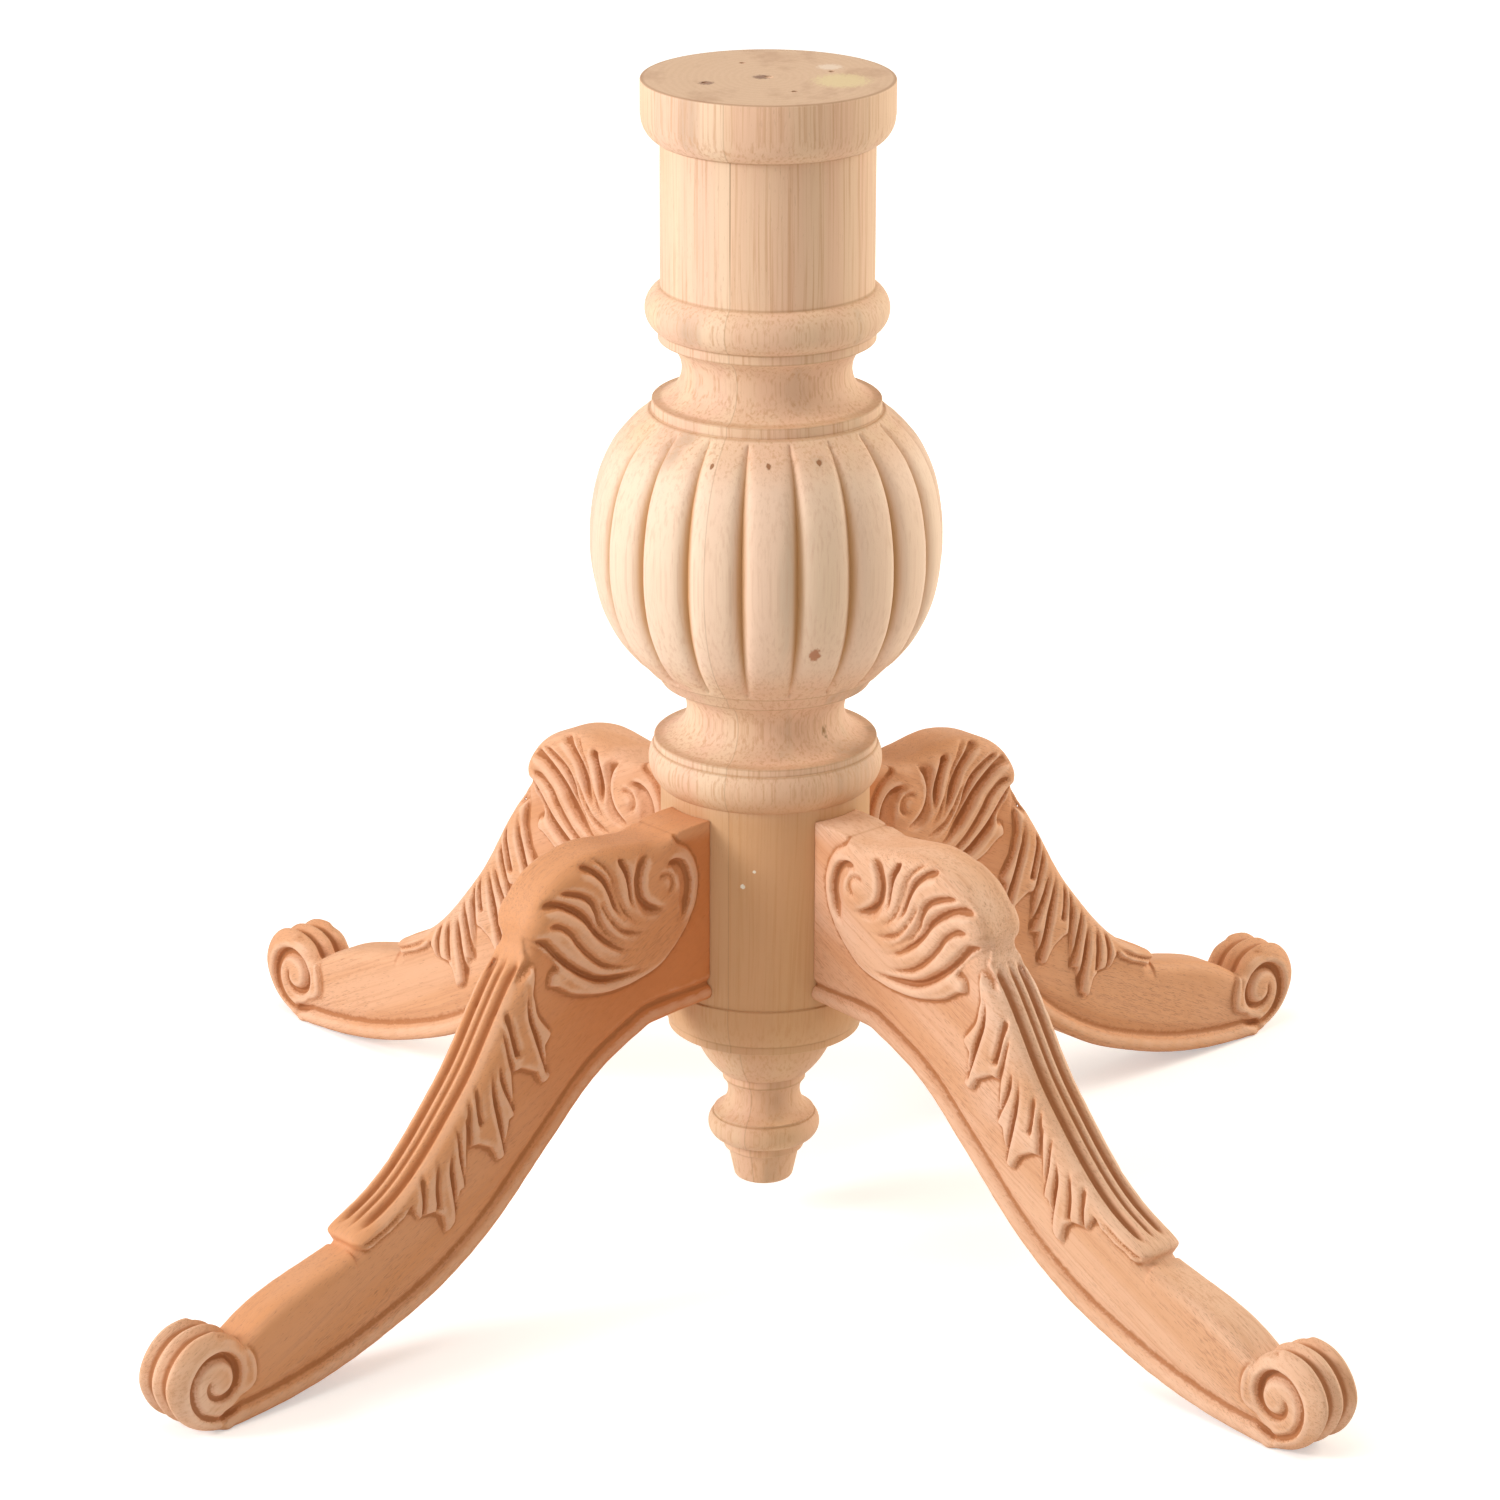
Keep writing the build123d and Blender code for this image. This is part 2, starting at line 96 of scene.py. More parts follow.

# Tones of the legs' and the dowels' wood, and the legs' painted shade and highlight
LEG_BAND = (0.72, 0.41, 0.24, 1)
LEG_PALE = (0.85, 0.60, 0.46, 1)
LEG_ORANGE_AND_SHADE = (0.64, 0.255, 0.085, 1)
LEG_FIBRE = (0.57, 0.27, 0.14, 1)
LEG_FLECK = (0.30, 0.13, 0.07, 1)
LEG_INNER_SHADE = (0.55, 0.165, 0.035, 1)
LEG_RIDGE_HIGHLIGHT = (0.88, 0.60, 0.43, 1)
DOWEL_PALE = (0.72, 0.50, 0.30, 1)
DOWEL_FIBRE = (0.60, 0.38, 0.2, 1)

# How much noise it takes for a fleck to show in the grain
COLUMN_FLECKS = 0.84
LEG_FLECKS = 0.76

# Single marks on the column: middle and size in metres, and tone
COLUMN_MARKS = [
    ((0.0384, -0.0339, 0.3291), (0.004, 0.004, 0.007), (0.30, 0.16, 0.06, 1)),
    ((-0.0295, -0.0794, 0.506), (0.0016, 0.0016, 0.004), PIN_KNOT),
    ((0.0037, -0.0833, 0.5076), (0.0019, 0.0019, 0.0048), PIN_KNOT),
    ((0.0326, -0.0761, 0.5083), (0.0021, 0.0021, 0.0085), PIN_KNOT),
    ((0.0314, -0.0928, 0.3961), (0.0042, 0.0042, 0.0065), (0.50, 0.23, 0.13, 1)),
    ((-0.0113, -0.0625, 0.2386), (0.0018, 0.0018, 0.0018), PALE_SPECK),
    ((-0.0047, -0.0633, 0.2486), (0.0012, 0.0012, 0.0012), PALE_SPECK),
    ((0.0113, -0.0513, 0.3405), (0.0012, 0.0012, 0.0016), PALE_SPECK),
    ((0.0560, -0.0760, 0.4700), (0.0030, 0.0030, 0.0040), (0.62, 0.38, 0.20, 1)),
]
# Marks on its top face: middle and size in metres, share and tone
TOP_MARKS = [
    ((0.043, -0.008), (0.020, 0.022, 0.02), 0.75, (0.72, 0.58, 0.32, 1)),
    ((-0.0037, -0.0004), (0.0065, 0.0065, 0.0065), 0.85, (0.20, 0.10, 0.06, 1)),
    ((-0.0356, -0.0175), (0.0055, 0.0055, 0.0055), 0.85, (0.26, 0.14, 0.09, 1)),
    ((0.0353, 0.0278), (0.0090, 0.0090, 0.0090), 0.85, (0.78, 0.62, 0.49, 1)),
]

# Lamps: name, place and size in metres, power in watts and tint
LAMPS = [
    ("Key_lamp", (-3.2, -1.15, 1.8), 1.3, 98, (1, 0.985, 1)),
    ("Rim_lamp", (2.7, 1.3, 1.5), 1.5, 60, (1, 0.95, 0.83)),
    ("Top_lamp", (-0.4, -0.8, 3.2), 1.6, 20, (1, 1, 1)),
]
LAMPS_AIM = (0, 0, 0.35)
WHITE = (1, 1, 1, 1)
WORLD_TINT = (1, 0.925, 0.79, 1)
WORLD_STRENGTH = 0.46
CAMERA_PLACE = (0.092, -3.2533, 1.4575)
CAMERA_LENS = 136.7
# Degrees that the camera looks to its left, looks down and leans over
CAMERA_LEFT, CAMERA_DOWN, CAMERA_ROLL = 1.784, 19.52, 0.199


class ColumnSizes(bpy.types.PropertyGroup):
    """Sizes of the turned column, millimetres."""

    shaft_radius: FloatProperty(
        name="Shaft radius", description="Radius of both plain shafts", default=63.5, min=30)
    ball_radius: FloatProperty(
        name="Ball radius", description="Largest radius of the ball", default=BALL_RADIUS, min=60)
    flutes: IntProperty(
        name="Flutes", description="Gouged flutes round the ball", default=19, min=5)
    flute_depth: FloatProperty(
        name="Flute depth", description="Depth of a flute in its middle", default=6.2, min=0)
    flute_width: FloatProperty(
        name="Flute width", description="Width of a flute in its middle", default=10.5, min=1)
    first_flute: FloatProperty(
        name="First flute", description="Direction of one flute, degrees", default=-77.8)


class LegSizes(bpy.types.PropertyGroup):
    """Sizes of the carved legs, millimetres."""

    ground: FloatProperty(
        name="Ground", description="Half thickness of the carved-back ground", default=16.0, min=5)
    block: FloatProperty(
        name="Block", description="Half thickness of the block at the shaft", default=17.4, min=5)
    knee: FloatProperty(
        name="Knee", description="Half thickness of the knee", default=21.2, min=5)
    leaf: FloatProperty(
        name="Leaf", description="Half thickness of the shin leaf", default=20.2, min=5)
    fineness: FloatProperty(
        name="Fineness", description="Spacing of the carved skin's points", default=0.9, min=0.5)
    triangles: IntProperty(
        name="Triangles", description="Triangles kept in a finished leg", default=184000, min=2000)


def swatch(name, description, default):
    """A colour that the sidebar shows."""
    return FloatVectorProperty(name=name, description=description, subtype="COLOR", size=4, min=0, max=1,
                               default=default)


class WoodColours(bpy.types.PropertyGroup):
    """Colours of the bare wood, and of the painted shade in the legs' grooves."""

    column: swatch("Column", "Bare wood of the column", (0.82, 0.60, 0.42, 1))
    column_pink: swatch("Column pink", "Pinkish streaks of the column", (0.81, 0.54, 0.39, 1))
    leg: swatch("Leg", "Bare wood of the legs", (0.80, 0.505, 0.335, 1))
    # Painted shade: the colour that the legs' carved grooves are darkened towards
    leg_groove_shade: swatch("Leg grooves", "Wood in the carved grooves", (0.42, 0.155, 0.05, 1))


# Outlines of the leg seen from its side: distance from the column's axis and height, millimetres
UNDERSIDE = [(40, 163.5), (100, 160.5), (118, 156.5), (155, 137.5), (195, 102), (235, 65.5), (275, 39.7),
             (315, 23), (355, 10.5), (395, 3), (432, 0)]
CROWN = [(421, 48), (406, 57), (391, 63.5), (371, 69.5), (351, 74.5), (337, 79), (336, 87),
         (307, 103), (287, 119.5), (267, 141.5), (247, 166.5), (228, 197), (217, 214), (206, 229),
         (204.5, 240), (203, 247), (194.5, 260), (181, 270.5), (164, 277), (145, 279.5), (120, 276.5),
         (98, 274.5), (80, 277.5), (40, 278.5)]
LEAF_TOP = [(204.5, 240), (206, 229), (217, 214), (228, 197), (247, 166.5), (267, 141.5), (287, 119.5),
            (307, 103), (336, 87)]
SCROLL = [(412, 1.5), (432, 0), (452, 3), (468, 14), (476.5, 32), (472, 48), (459, 59.5), (442, 62),
          (429, 57), (421, 46)]
SCROLL_EYE = (442.0, 31.5)
VOLUTE_EYE = (101, 247)
KNEE_LOBE = [(202, 236), (196, 231), (187, 222), (184, 216), (189, 213), (190, 206.5), (184, 204),
             (172, 196.5), (154, 191.5), (138, 190), (122, 191.5), (104, 196), (93, 204), (82, 216),
             (74, 231), (72, 245), (75, 257), (81, 266), (90, 272), (98, 284), (150, 290), (215, 270)]
SHIN_BAND = [(204, 226), (213, 214), (224, 190), (236, 169), (252, 145), (271, 122), (292, 103), (312, 92),
             (335, 79), (345, 95), (290, 150), (230, 240), (206, 246)]
LEAFLETS = [
    [(201, 222), (203, 205), (199, 190), (189.5, 177), (194, 170), (191, 150), (196, 146), (202, 155),
     (214, 161), (217, 160), (222, 160), (232, 186), (232, 200)],
    [(222, 196), (223, 178), (218, 133), (223, 131), (226, 110), (231, 107), (238, 117), (247, 122),
     (252, 122), (256, 140), (256, 156)],
    [(247, 160), (256, 140), (256, 98), (261, 97), (266, 78), (272, 73), (276, 85), (281, 89),
     (287, 89), (292, 88), (298, 96), (298, 115)],
    [(288, 118), (296, 100), (304, 92), (315, 86), (323, 83), (331, 79), (337, 83), (336, 92), (315, 110)],
]

# Part of the side view that the leg's height map covers, and how far its skin is looked for on each side
MAP_U = (57, 482)
MAP_Z = (-3, 284)
MAP_HALF = 23.5
# Flutes along the leaf's crown: half width of the middle one, place and half width of the outer two
MIDDLE_FLUTE_HALF = 2.3
OUTER_FLUTE, OUTER_FLUTE_HALF = 8.2, 3.5
# Place of the two grooves along the scroll's tread
TREAD_GROOVE = 6.3
# Joint gap between a leg and the shaft
JOINT_GAP = 0.1
# Slope of the board's grain along the shin, degrees, and the shift of the grain from leg to leg
GRAIN_SLOPE = -27
GRAIN_SHIFT = 530

# Width of a gouged groove's wall for each millimetre of the gouge
GOUGE_WALL = 0.36
# Gouge lines on the leg's faces: their points, width and depth
KNEE_GOUGES = [
    ([(138, 274), (132, 264), (129, 254), (127, 243), (122, 236)], 6.5, 4.0),
    ([(160, 281), (150, 272), (143, 263), (140, 254), (136, 244), (131, 236), (123, 230), (113, 228)],
     5.5, 2.4),
    ([(169, 275), (158, 270), (149, 262), (144, 253), (140, 243), (135, 236), (129, 229)], 7.5, 4.0),
    ([(153, 253), (149, 244), (143, 235), (135, 227), (123, 223), (110, 224)], 5, 2.2),
    ([(187, 263), (170, 258), (160, 252), (155, 244), (152, 236), (145, 227), (135, 220), (123, 216)],
     7.5, 3.6),
    ([(200, 255), (185, 255), (173, 249), (163, 241), (155, 231), (147, 223), (135, 215), (120, 213)],
     9.5, 4.6),
    ([(198, 245), (185, 242), (176, 236), (170, 228), (163, 220), (153, 211), (143, 206), (130, 204),
      (116, 205)], 7, 3.0),
    ([(207, 238), (195, 234), (185, 224), (176, 215), (167, 208), (155, 201), (143, 198), (125, 198),
      (107, 200)], 9, 4.6),
]
VOLUTE_HOLLOWS = [
    ([(103, 258), (95, 261.5), (86, 259), (80.5, 250), (79.5, 239), (83, 228), (92, 219)], 11, 6.2),
    ([(110, 273), (117, 265), (120, 254), (117.5, 243.5), (110, 236.5), (98, 232)], 8, 6.4),
    ([(108, 250), (104, 255.5), (97, 254), (95, 247.5), (99, 243), (105, 244)], 4, 2.6),
]
LEAF_GOUGES = [
    ([(202, 208.5), (199, 191.5), (189, 178.5)], 5, 3.6),
    ([(207, 219.5), (208, 196.5), (202, 176.5), (193, 151.5)], 5.5, 4.2),
    ([(223, 213.5), (223, 193.5), (217, 168.5)], 5.5, 4.0),
    ([(228, 196.5), (225, 176.5), (220, 159.5)], 4, 3.0),
    ([(232, 176.5), (229, 156.5), (218, 133.5)], 5, 3.8),
    ([(237, 174.5), (236, 151.5), (226, 109.5)], 5.5, 4.2),
    ([(247, 164.5), (248, 146.5), (246, 133.5)], 4.5, 3.4),
    ([(253, 156.5), (254, 136.5), (254, 122.5)], 4.5, 3.6),
    ([(264, 144.5), (262, 121.5), (257, 97.5)], 5, 3.8),
    ([(268, 131.5), (269, 111.5), (264, 81.5)], 5.5, 4.2),
    ([(277, 126.5), (280, 106.5), (279, 89.5)], 4.5, 3.4),
    ([(286, 123.5), (290, 104.5), (290, 88.5)], 4.5, 3.6),
    ([(294, 106.5), (304, 97.5), (317, 89.5), (334, 82.5)], 4.0, 2.6),
]


def smooth(points, parts=8):
    """Points close together along a smooth line through the given ones."""
    p = np.array([points[0], *points, points[-1]], float)
    t = np.linspace(0, 1, parts, endpoint=False)[:, None]
    runs = []
    for a, b, c, d in zip(p, p[1:], p[2:], p[3:]):
        runs.append(b + t * (c - a) / 2 + t ** 2 * (a - 2.5 * b + 2 * c - d / 2)
                    + t ** 3 * (1.5 * (b - c) + (d - a) / 2))
    return np.vstack([*runs, p[-1:]])


def closed_smooth(points):
    """The same for a line that comes back to its first point."""
    return smooth(points + points[:1], 6)[:-1]


def to_line(points, u, z):
    """Distance to a line, share of the way along it and side of it, for every place of a grid."""
    p = np.asarray(points, float)
    runs = np.diff(p, axis=0)
    length = np.hypot(runs[:, 0], runs[:, 1])
    start = np.concatenate([[0], np.cumsum(length)])
    best = np.full(u.shape, 1e9)
    share = np.zeros(u.shape)
    side = np.ones(u.shape)
    for i in np.flatnonzero(length > 1e-9):
        x, y = u - p[i, 0], z - p[i, 1]
        f = np.clip((x * runs[i, 0] + y * runs[i, 1]) / length[i] ** 2, 0, 1)
        away = np.hypot(x - f * runs[i, 0], y - f * runs[i, 1])
        near = away < best
        best[near] = away[near]
        share[near] = ((start[i] + f * length[i]) / start[-1])[near]
        side[near] = np.sign(runs[i, 0] * y - runs[i, 1] * x)[near]
    return best, share, side


def inside(points, u, z):
    """How far each place of a grid is inside a closed outline, below nought outside it."""
    p = np.asarray(points, float)
    away = to_line(np.vstack([p, p[:1]]), u, z)[0]
    within = np.zeros(u.shape, bool)
    for (a, b), (c, d) in zip(p, np.roll(p, -1, axis=0)):
        if b != d:
            within ^= ((z < b) != (z < d)) & (u < (c - a) * (z - b) / (d - b) + a)
    return np.where(within, away, -away)


def ease(x, low, high):
    """0 at low, 1 at high and smooth between them."""
    x = np.clip((x - low) / (high - low), 0, 1)
    return x * x * (3 - 2 * x)


def gouge(u, z, points, width, depth, ends):
    """Depth of a carved groove: a pointed V cut at the foot of a slope that falls from its right."""
    line = smooth(points, 6)
    low, high = line.min(0) - width, line.max(0) + width
    near = (u > low[0]) & (u < high[0]) & (z > low[1]) & (z < high[1])
    away, share, side = to_line(line, u[near], z[near])
    start, end = ends
    taper = ease(share, 0, start) * ease(1 - share, 0, end)
    wall = width * np.where(side > 0, 0.6 * GOUGE_WALL, GOUGE_WALL) * (0.25 + 0.75 * taper)
    cut = np.clip(1 - away / wall, 0, 1)
    slope = np.clip(1 - away / (0.9 * width), 0, 1) * (side <= 0)
    groove = np.zeros(u.shape)
    groove[near] = depth * taper * (0.78 * cut + 0.22 * slope)
    return groove


def gouges(u, z, lines, wide, deep, ends):
    """Depth of the deepest of these grooves, with their widths and depths brought to scale."""
    cut = np.zeros(u.shape)
    for points, width, depth in lines:
        cut = np.maximum(cut, gouge(u, z, points, width * wide, depth * deep, ends))
    return cut


def hollow(u, z, points, width, depth):
    """Depth of a scooped hollow: a wall on its right and a floor that rises to the left."""
    away, share, side = to_line(smooth(points, 6), u, z)
    taper = ease(share, 0, 0.22) * ease(1 - share, 0, 0.3)
    reach = np.where(side > 0, width * (0.3 + 0.7 * taper), 1.6)
    return depth * taper * np.clip(1 - away / reach, 0, 1)


def raised(height, away, step, crown, reach):
    """Height map with a plate on it that has a crisp edge, a crowned top and a cut line round it."""
    top = step + crown * np.sqrt(np.clip(away / reach, 0, 1))
    plate = height + (top - height) * ease(away, -0.3, 0.8)
    set_in = 1.1 * np.clip(1 + away / 2.8, 0, 1) * (away <= 0)
    return np.where(away > -0.3, np.maximum(plate, height), height - set_in)


def from_eye(u, z):
    """Distance of every place of a grid from the eye of the scroll foot, and its direction in degrees."""
    x, y = u - SCROLL_EYE[0], z - SCROLL_EYE[1]
    return np.hypot(x, y), np.degrees(np.arctan2(y, x))


def scroll_groove(u, z):
    """Depth of the spiral cut in the face of the scroll foot."""
    r, around = from_eye(u, z)
    groove = np.zeros(u.shape)
    for turn in (around, around + 360):
        share = (turn + 140) / 570
        radius = 25 - 19.5 * share
        width = 2.6 + 1.8 * np.sin(pi * np.clip(share * 1.15, 0, 1))
        depth = 6.4 * np.sin(pi * np.clip(0.16 + share * 0.84, 0, 1)) ** 0.8
        off = r - radius
        wall = np.clip(1 - np.abs(off) / np.where(off > 0, width * 0.55, width * 1.25), 0, 1) ** 0.75
        groove = np.maximum(groove, depth * wall * ease(share, -0.02, 0.06) * ease(1 - share, 0, 0.12))
    return groove


def carve_faces(sizes, u, z, low, top):
    """Half thickness of the leg at each place of its side view, its share of foot and its raised parts."""
    ground = sizes.ground + (sizes.block - sizes.ground) * (1 - ease(u, 76, 104))
    r, around = from_eye(u, z)
    cove = 4.5 + 4.5 * ease(u, 190, 270) * ease(u, 425, 360)
    bead_width = 10.4
    bead = 13.2 + 5.6 * np.clip(1 - ((low - 5.0) / 6.8) ** 2, 0, 1) ** 0.75
    slope = ground - 2.6 + 2.2 * np.clip((low - bead_width) / cove, 0, 1)
    edge = ease(bead_width + cove - low, -1.0, 1.0) * ease(r, 22, 28)
    height = ground * (1 - edge) + np.maximum(bead, slope) * edge

    leaf = inside(closed_smooth(SHIN_BAND), u, z)
    for outline in LEAFLETS:
        leaf = np.maximum(leaf, inside(outline, u, z))
    height = raised(height, leaf, sizes.leaf - 1.8, 1.9, 5.0)
    leaf_cut = gouges(u, z, LEAF_GOUGES, 1.65, 1.6, (0.5, 0.02)) * ease(leaf, -0.8, 0.6)
    tip = ease(u, 285, 300)
    height -= leaf_cut * ease(top, 2 - tip, 6 - 2.5 * tip)

    lobe = inside(closed_smooth(KNEE_LOBE), u, z)
    height = raised(height, lobe, sizes.knee - 3.0, 3.0, 9.0)
    eye = np.hypot(u - VOLUTE_EYE[0], (z - VOLUTE_EYE[1]) * 0.85)
    height += 1.6 * np.clip(1 - (eye / 13.5) ** 2, 0, 1)
    cut = gouges(u, z, KNEE_GOUGES, 1.6, 1.75, (0.13, 0.4))
    for points, width, depth in VOLUTE_HOLLOWS:
        cut = np.maximum(cut, hollow(u, z, points, width, depth))
    cut *= ease(top, 0.5, 4)

    rim = 19.4 - 1.8 * np.clip((r - 24) / 8, -1, 1.4) ** 2
    face = np.where(r < 12, 19.2 - 1.6 * (r / 12) ** 2, rim)
    around = around % 360
    disc = 26.5 - 7.5 * ease(around, 190, 225) * ease(around, 275, 262)
    in_foot = np.maximum(ease(disc - r, -0.8, 0.8), ease(u, 438, 444))
    height = height * (1 - in_foot) + face * in_foot
    cut = np.where(r < 31, scroll_groove(u, z), cut)
    tool_marks = 0.16 * np.sin(u / 3.1 + 1.7 * np.sin(z / 6.3)) * np.sin(z / 4.1 + 1.3 * np.sin(u / 7.7))
    height = height - cut + tool_marks
    for axis in (0, 1):
        height = 0.5 * height + 0.25 * (np.roll(height, 1, axis) + np.roll(height, -1, axis))
    return height, in_foot, np.maximum(leaf, lobe)


def hollows(height, reach):
    """How far each place of a height map lies below the mean of the places round it."""
    mean = height
    for axis in (0, 1):
        padded = np.pad(mean, [(reach + 1, reach) if i == axis else (0, 0) for i in (0, 1)], mode="edge")
        total = np.cumsum(padded, axis)
        size = mean.shape[axis]
        last = np.take(total, range(2 * reach + 1, 2 * reach + 1 + size), axis)
        mean = (last - np.take(total, range(size), axis)) / (2 * reach + 1)
    return mean - height


def leg_skin(sizes, shaft_radius):
    """Places and faces of one leg that points along +X, millimetres, and the maps of its side view."""
    step = sizes.fineness
    us = np.arange(*MAP_U, step)
    zs = np.arange(*MAP_Z, step)
    half = int(MAP_HALF / step)
    ts = (np.arange(2 * half) - half + 0.5) * step
    u, z = np.meshgrid(us, zs, indexing="ij")
    low = to_line(smooth(UNDERSIDE), u, z)[0]
    top = to_line(smooth(CROWN), u, z)[0]
    body = inside(np.vstack([smooth(UNDERSIDE), smooth(CROWN)]), u, z)
    foot = inside(smooth(SCROLL), u, z)
    outline = -np.maximum(body, foot)
    height, in_foot, plates = carve_faces(sizes, u, z, low, top)

    low_round, foot_round = 2.6, 4.5
    top_round = np.where(u > 338, 8.5, 1.2 + 11.3 * ease(u, 84, 112))
    rounding = low_round + (top_round - low_round) * ease(low / (low + top + 1e-6), 0.35, 0.65)
    rounding = rounding * (1 - in_foot) + foot_round * in_foot

    leaf_away, leaf_share, _ = to_line(smooth(LEAF_TOP), u, z)
    on_leaf = ease(leaf_share, 0.05, 0.14) * ease(1 - leaf_share, 0, 0.1) * ease(leaf_away, 14, 8)
    r, around = from_eye(u, z)
    turn = (around + 95) % 360
    on_tread = ease(r, 15, 22) * ease(foot, -2, 1) * ease(turn, 0, 25) * ease(245 - turn, 0, 15)
    on_tread *= ease(outline, -14, -8)
    wood = np.empty((len(us), len(ts), len(zs)), np.float32)
    for j, t in enumerate(ts):
        middle = 3.0 * max(0.0, 1 - abs(t) / MIDDLE_FLUTE_HALF) ** 0.8
        outer = 5.2 * max(0.0, 1 - abs(abs(t) - OUTER_FLUTE) / OUTER_FLUTE_HALF) ** 0.8
        tread = 5.4 * (1 - abs(sin(pi * (t / (2 * TREAD_GROOVE) + 0.5)))) ** 0.8
        across = outline + (middle + outer) * on_leaf + tread * on_tread + rounding
        out = abs(t) - height + rounding
        skin = np.hypot(np.maximum(across, 0), np.maximum(out, 0)) + np.minimum(np.maximum(across, out), 0)
        skin = np.maximum(skin - rounding, shaft_radius + JOINT_GAP - np.hypot(u, t))
        wood[:, j, :] = np.maximum(skin, -z)
    places, faces = surface_net(wood, step, (us[0], ts[0], zs[0]))
    # Painted shade: the ground near the column darker and deeper orange, less on the raised plates
    inner = ease(u, 270, 110) * ease(z, 275, 267) * (1 - 0.8 * ease(plates, -1, 1.5))
    return places, faces, {"hollow": hollows(height, int(4.5 / step)), "height": height, "leaf": on_leaf,
                           "tread": on_tread, "inner": inner}


def shades(places, maps, step):
    """How deep each place lies in the carving, below 0 on a ridge, which gives the painted shade in grooves
    and the painted highlight on ridges, and its share of the painted shade on the ground by the column.
    """
    at = tuple(np.clip(((places[:, i] - low) / step).round().astype(int), 0, size - 1)
               for i, low, size in zip((0, 2), (MAP_U[0], MAP_Z[0]), maps["height"].shape))
    t = np.abs(places[:, 1])
    on_side = ease(t - maps["height"][at], -5.0, -1.0)
    flute = np.maximum(1 - t / MIDDLE_FLUTE_HALF, 1 - np.abs(t - OUTER_FLUTE) / OUTER_FLUTE_HALF)
    groove = 1 - np.abs(t - TREAD_GROOVE) / 3.0
    crown = np.clip(flute, -0.3, 1) * maps["leaf"][at] + np.clip(groove, 0, 1) * maps["tread"][at]
    # Painted shade and highlight: the hollows map on the sides and the flutes and tread grooves on the
    # crown say how deep a place lies, below 0 on a ridge
    carved = np.clip(maps["hollow"][at] / 2.2, -1, 1) * on_side + crown * (1 - on_side)
    return carved, maps["inner"][at] * on_side


def surface_net(values, step, origin):
    """Places and four-sided faces of the closed skin round the values below nought."""
    wood = values < 0
    n = np.array(values.shape) - 1
    corners = [(i, j, k) for i in (0, 1) for j in (0, 1) for k in (0, 1)]
    some = np.zeros(n, bool)
    every = np.ones(n, bool)
    for i, j, k in corners:
        part = wood[i:n[0] + i, j:n[1] + j, k:n[2] + k]
        some |= part
        every &= part
    cells = np.argwhere(some & ~every)
    number = np.full(n, -1)
    number[tuple(cells.T)] = np.arange(len(cells))
    value = {c: values[tuple((cells + c).T)] for c in corners}
    total = np.zeros((len(cells), 3))
    count = np.zeros(len(cells))
    for a in corners:
        for axis in range(3):
            b = tuple(1 if i == axis else x for i, x in enumerate(a))
            if a == b:
                continue
            crossed = (value[a] < 0) != (value[b] < 0)
            share = np.where(crossed, value[a] / np.where(crossed, value[a] - value[b], 1), 0)
            total += (np.array(a) + share[:, None] * (np.array(b) - np.array(a))) * crossed[:, None]
            count += crossed
    places = (cells + total / count[:, None]) * step + np.array(origin)
    faces = []
    for axis in range(3):
        p, q = (axis + 1) % 3, (axis + 2) % 3
        before = wood[tuple(slice(None, -1) if i == axis else slice(None) for i in range(3))]
        after = wood[tuple(slice(1, None) if i == axis else slice(None) for i in range(3))]
        for found, order in ((before & ~after, 1), (~before & after, -1)):
            at = np.argwhere(found)
            around = []
            for dp, dq in ((-1, -1), (0, -1), (0, 0), (-1, 0))[::order]:
                c = at.copy()
                c[:, p] += dp
                c[:, q] += dq
                around.append(number[tuple(c.T)])
            faces.append(np.stack(around, 1))
    return places, np.vstack(faces)


def arc(start, middle, end, parts=10):
    """Points of a circle's arc through three points, after the first one."""
    a, b, c = (complex(*p) for p in (start, middle, end))
    w = (c - a) / (b - a)
    centre = a + (b - a) * (w - abs(w) ** 2) / (2j * w.imag)
    from_angle = atan2((a - centre).imag, (a - centre).real)
    to_middle = (atan2((b - centre).imag, (b - centre).real) - from_angle + pi) % (2 * pi) - pi
    sweep = atan2((c - centre).imag, (c - centre).real) - from_angle
    sweep = (sweep + pi) % (2 * pi) - pi
    if sweep * to_middle < 0:
        sweep -= 2 * pi if sweep > 0 else -2 * pi
    r = abs(a - centre)
    return [(centre.real + r * cos(from_angle + sweep * i / parts),
             centre.imag + r * sin(from_angle + sweep * i / parts)) for i in range(1, parts + 1)]


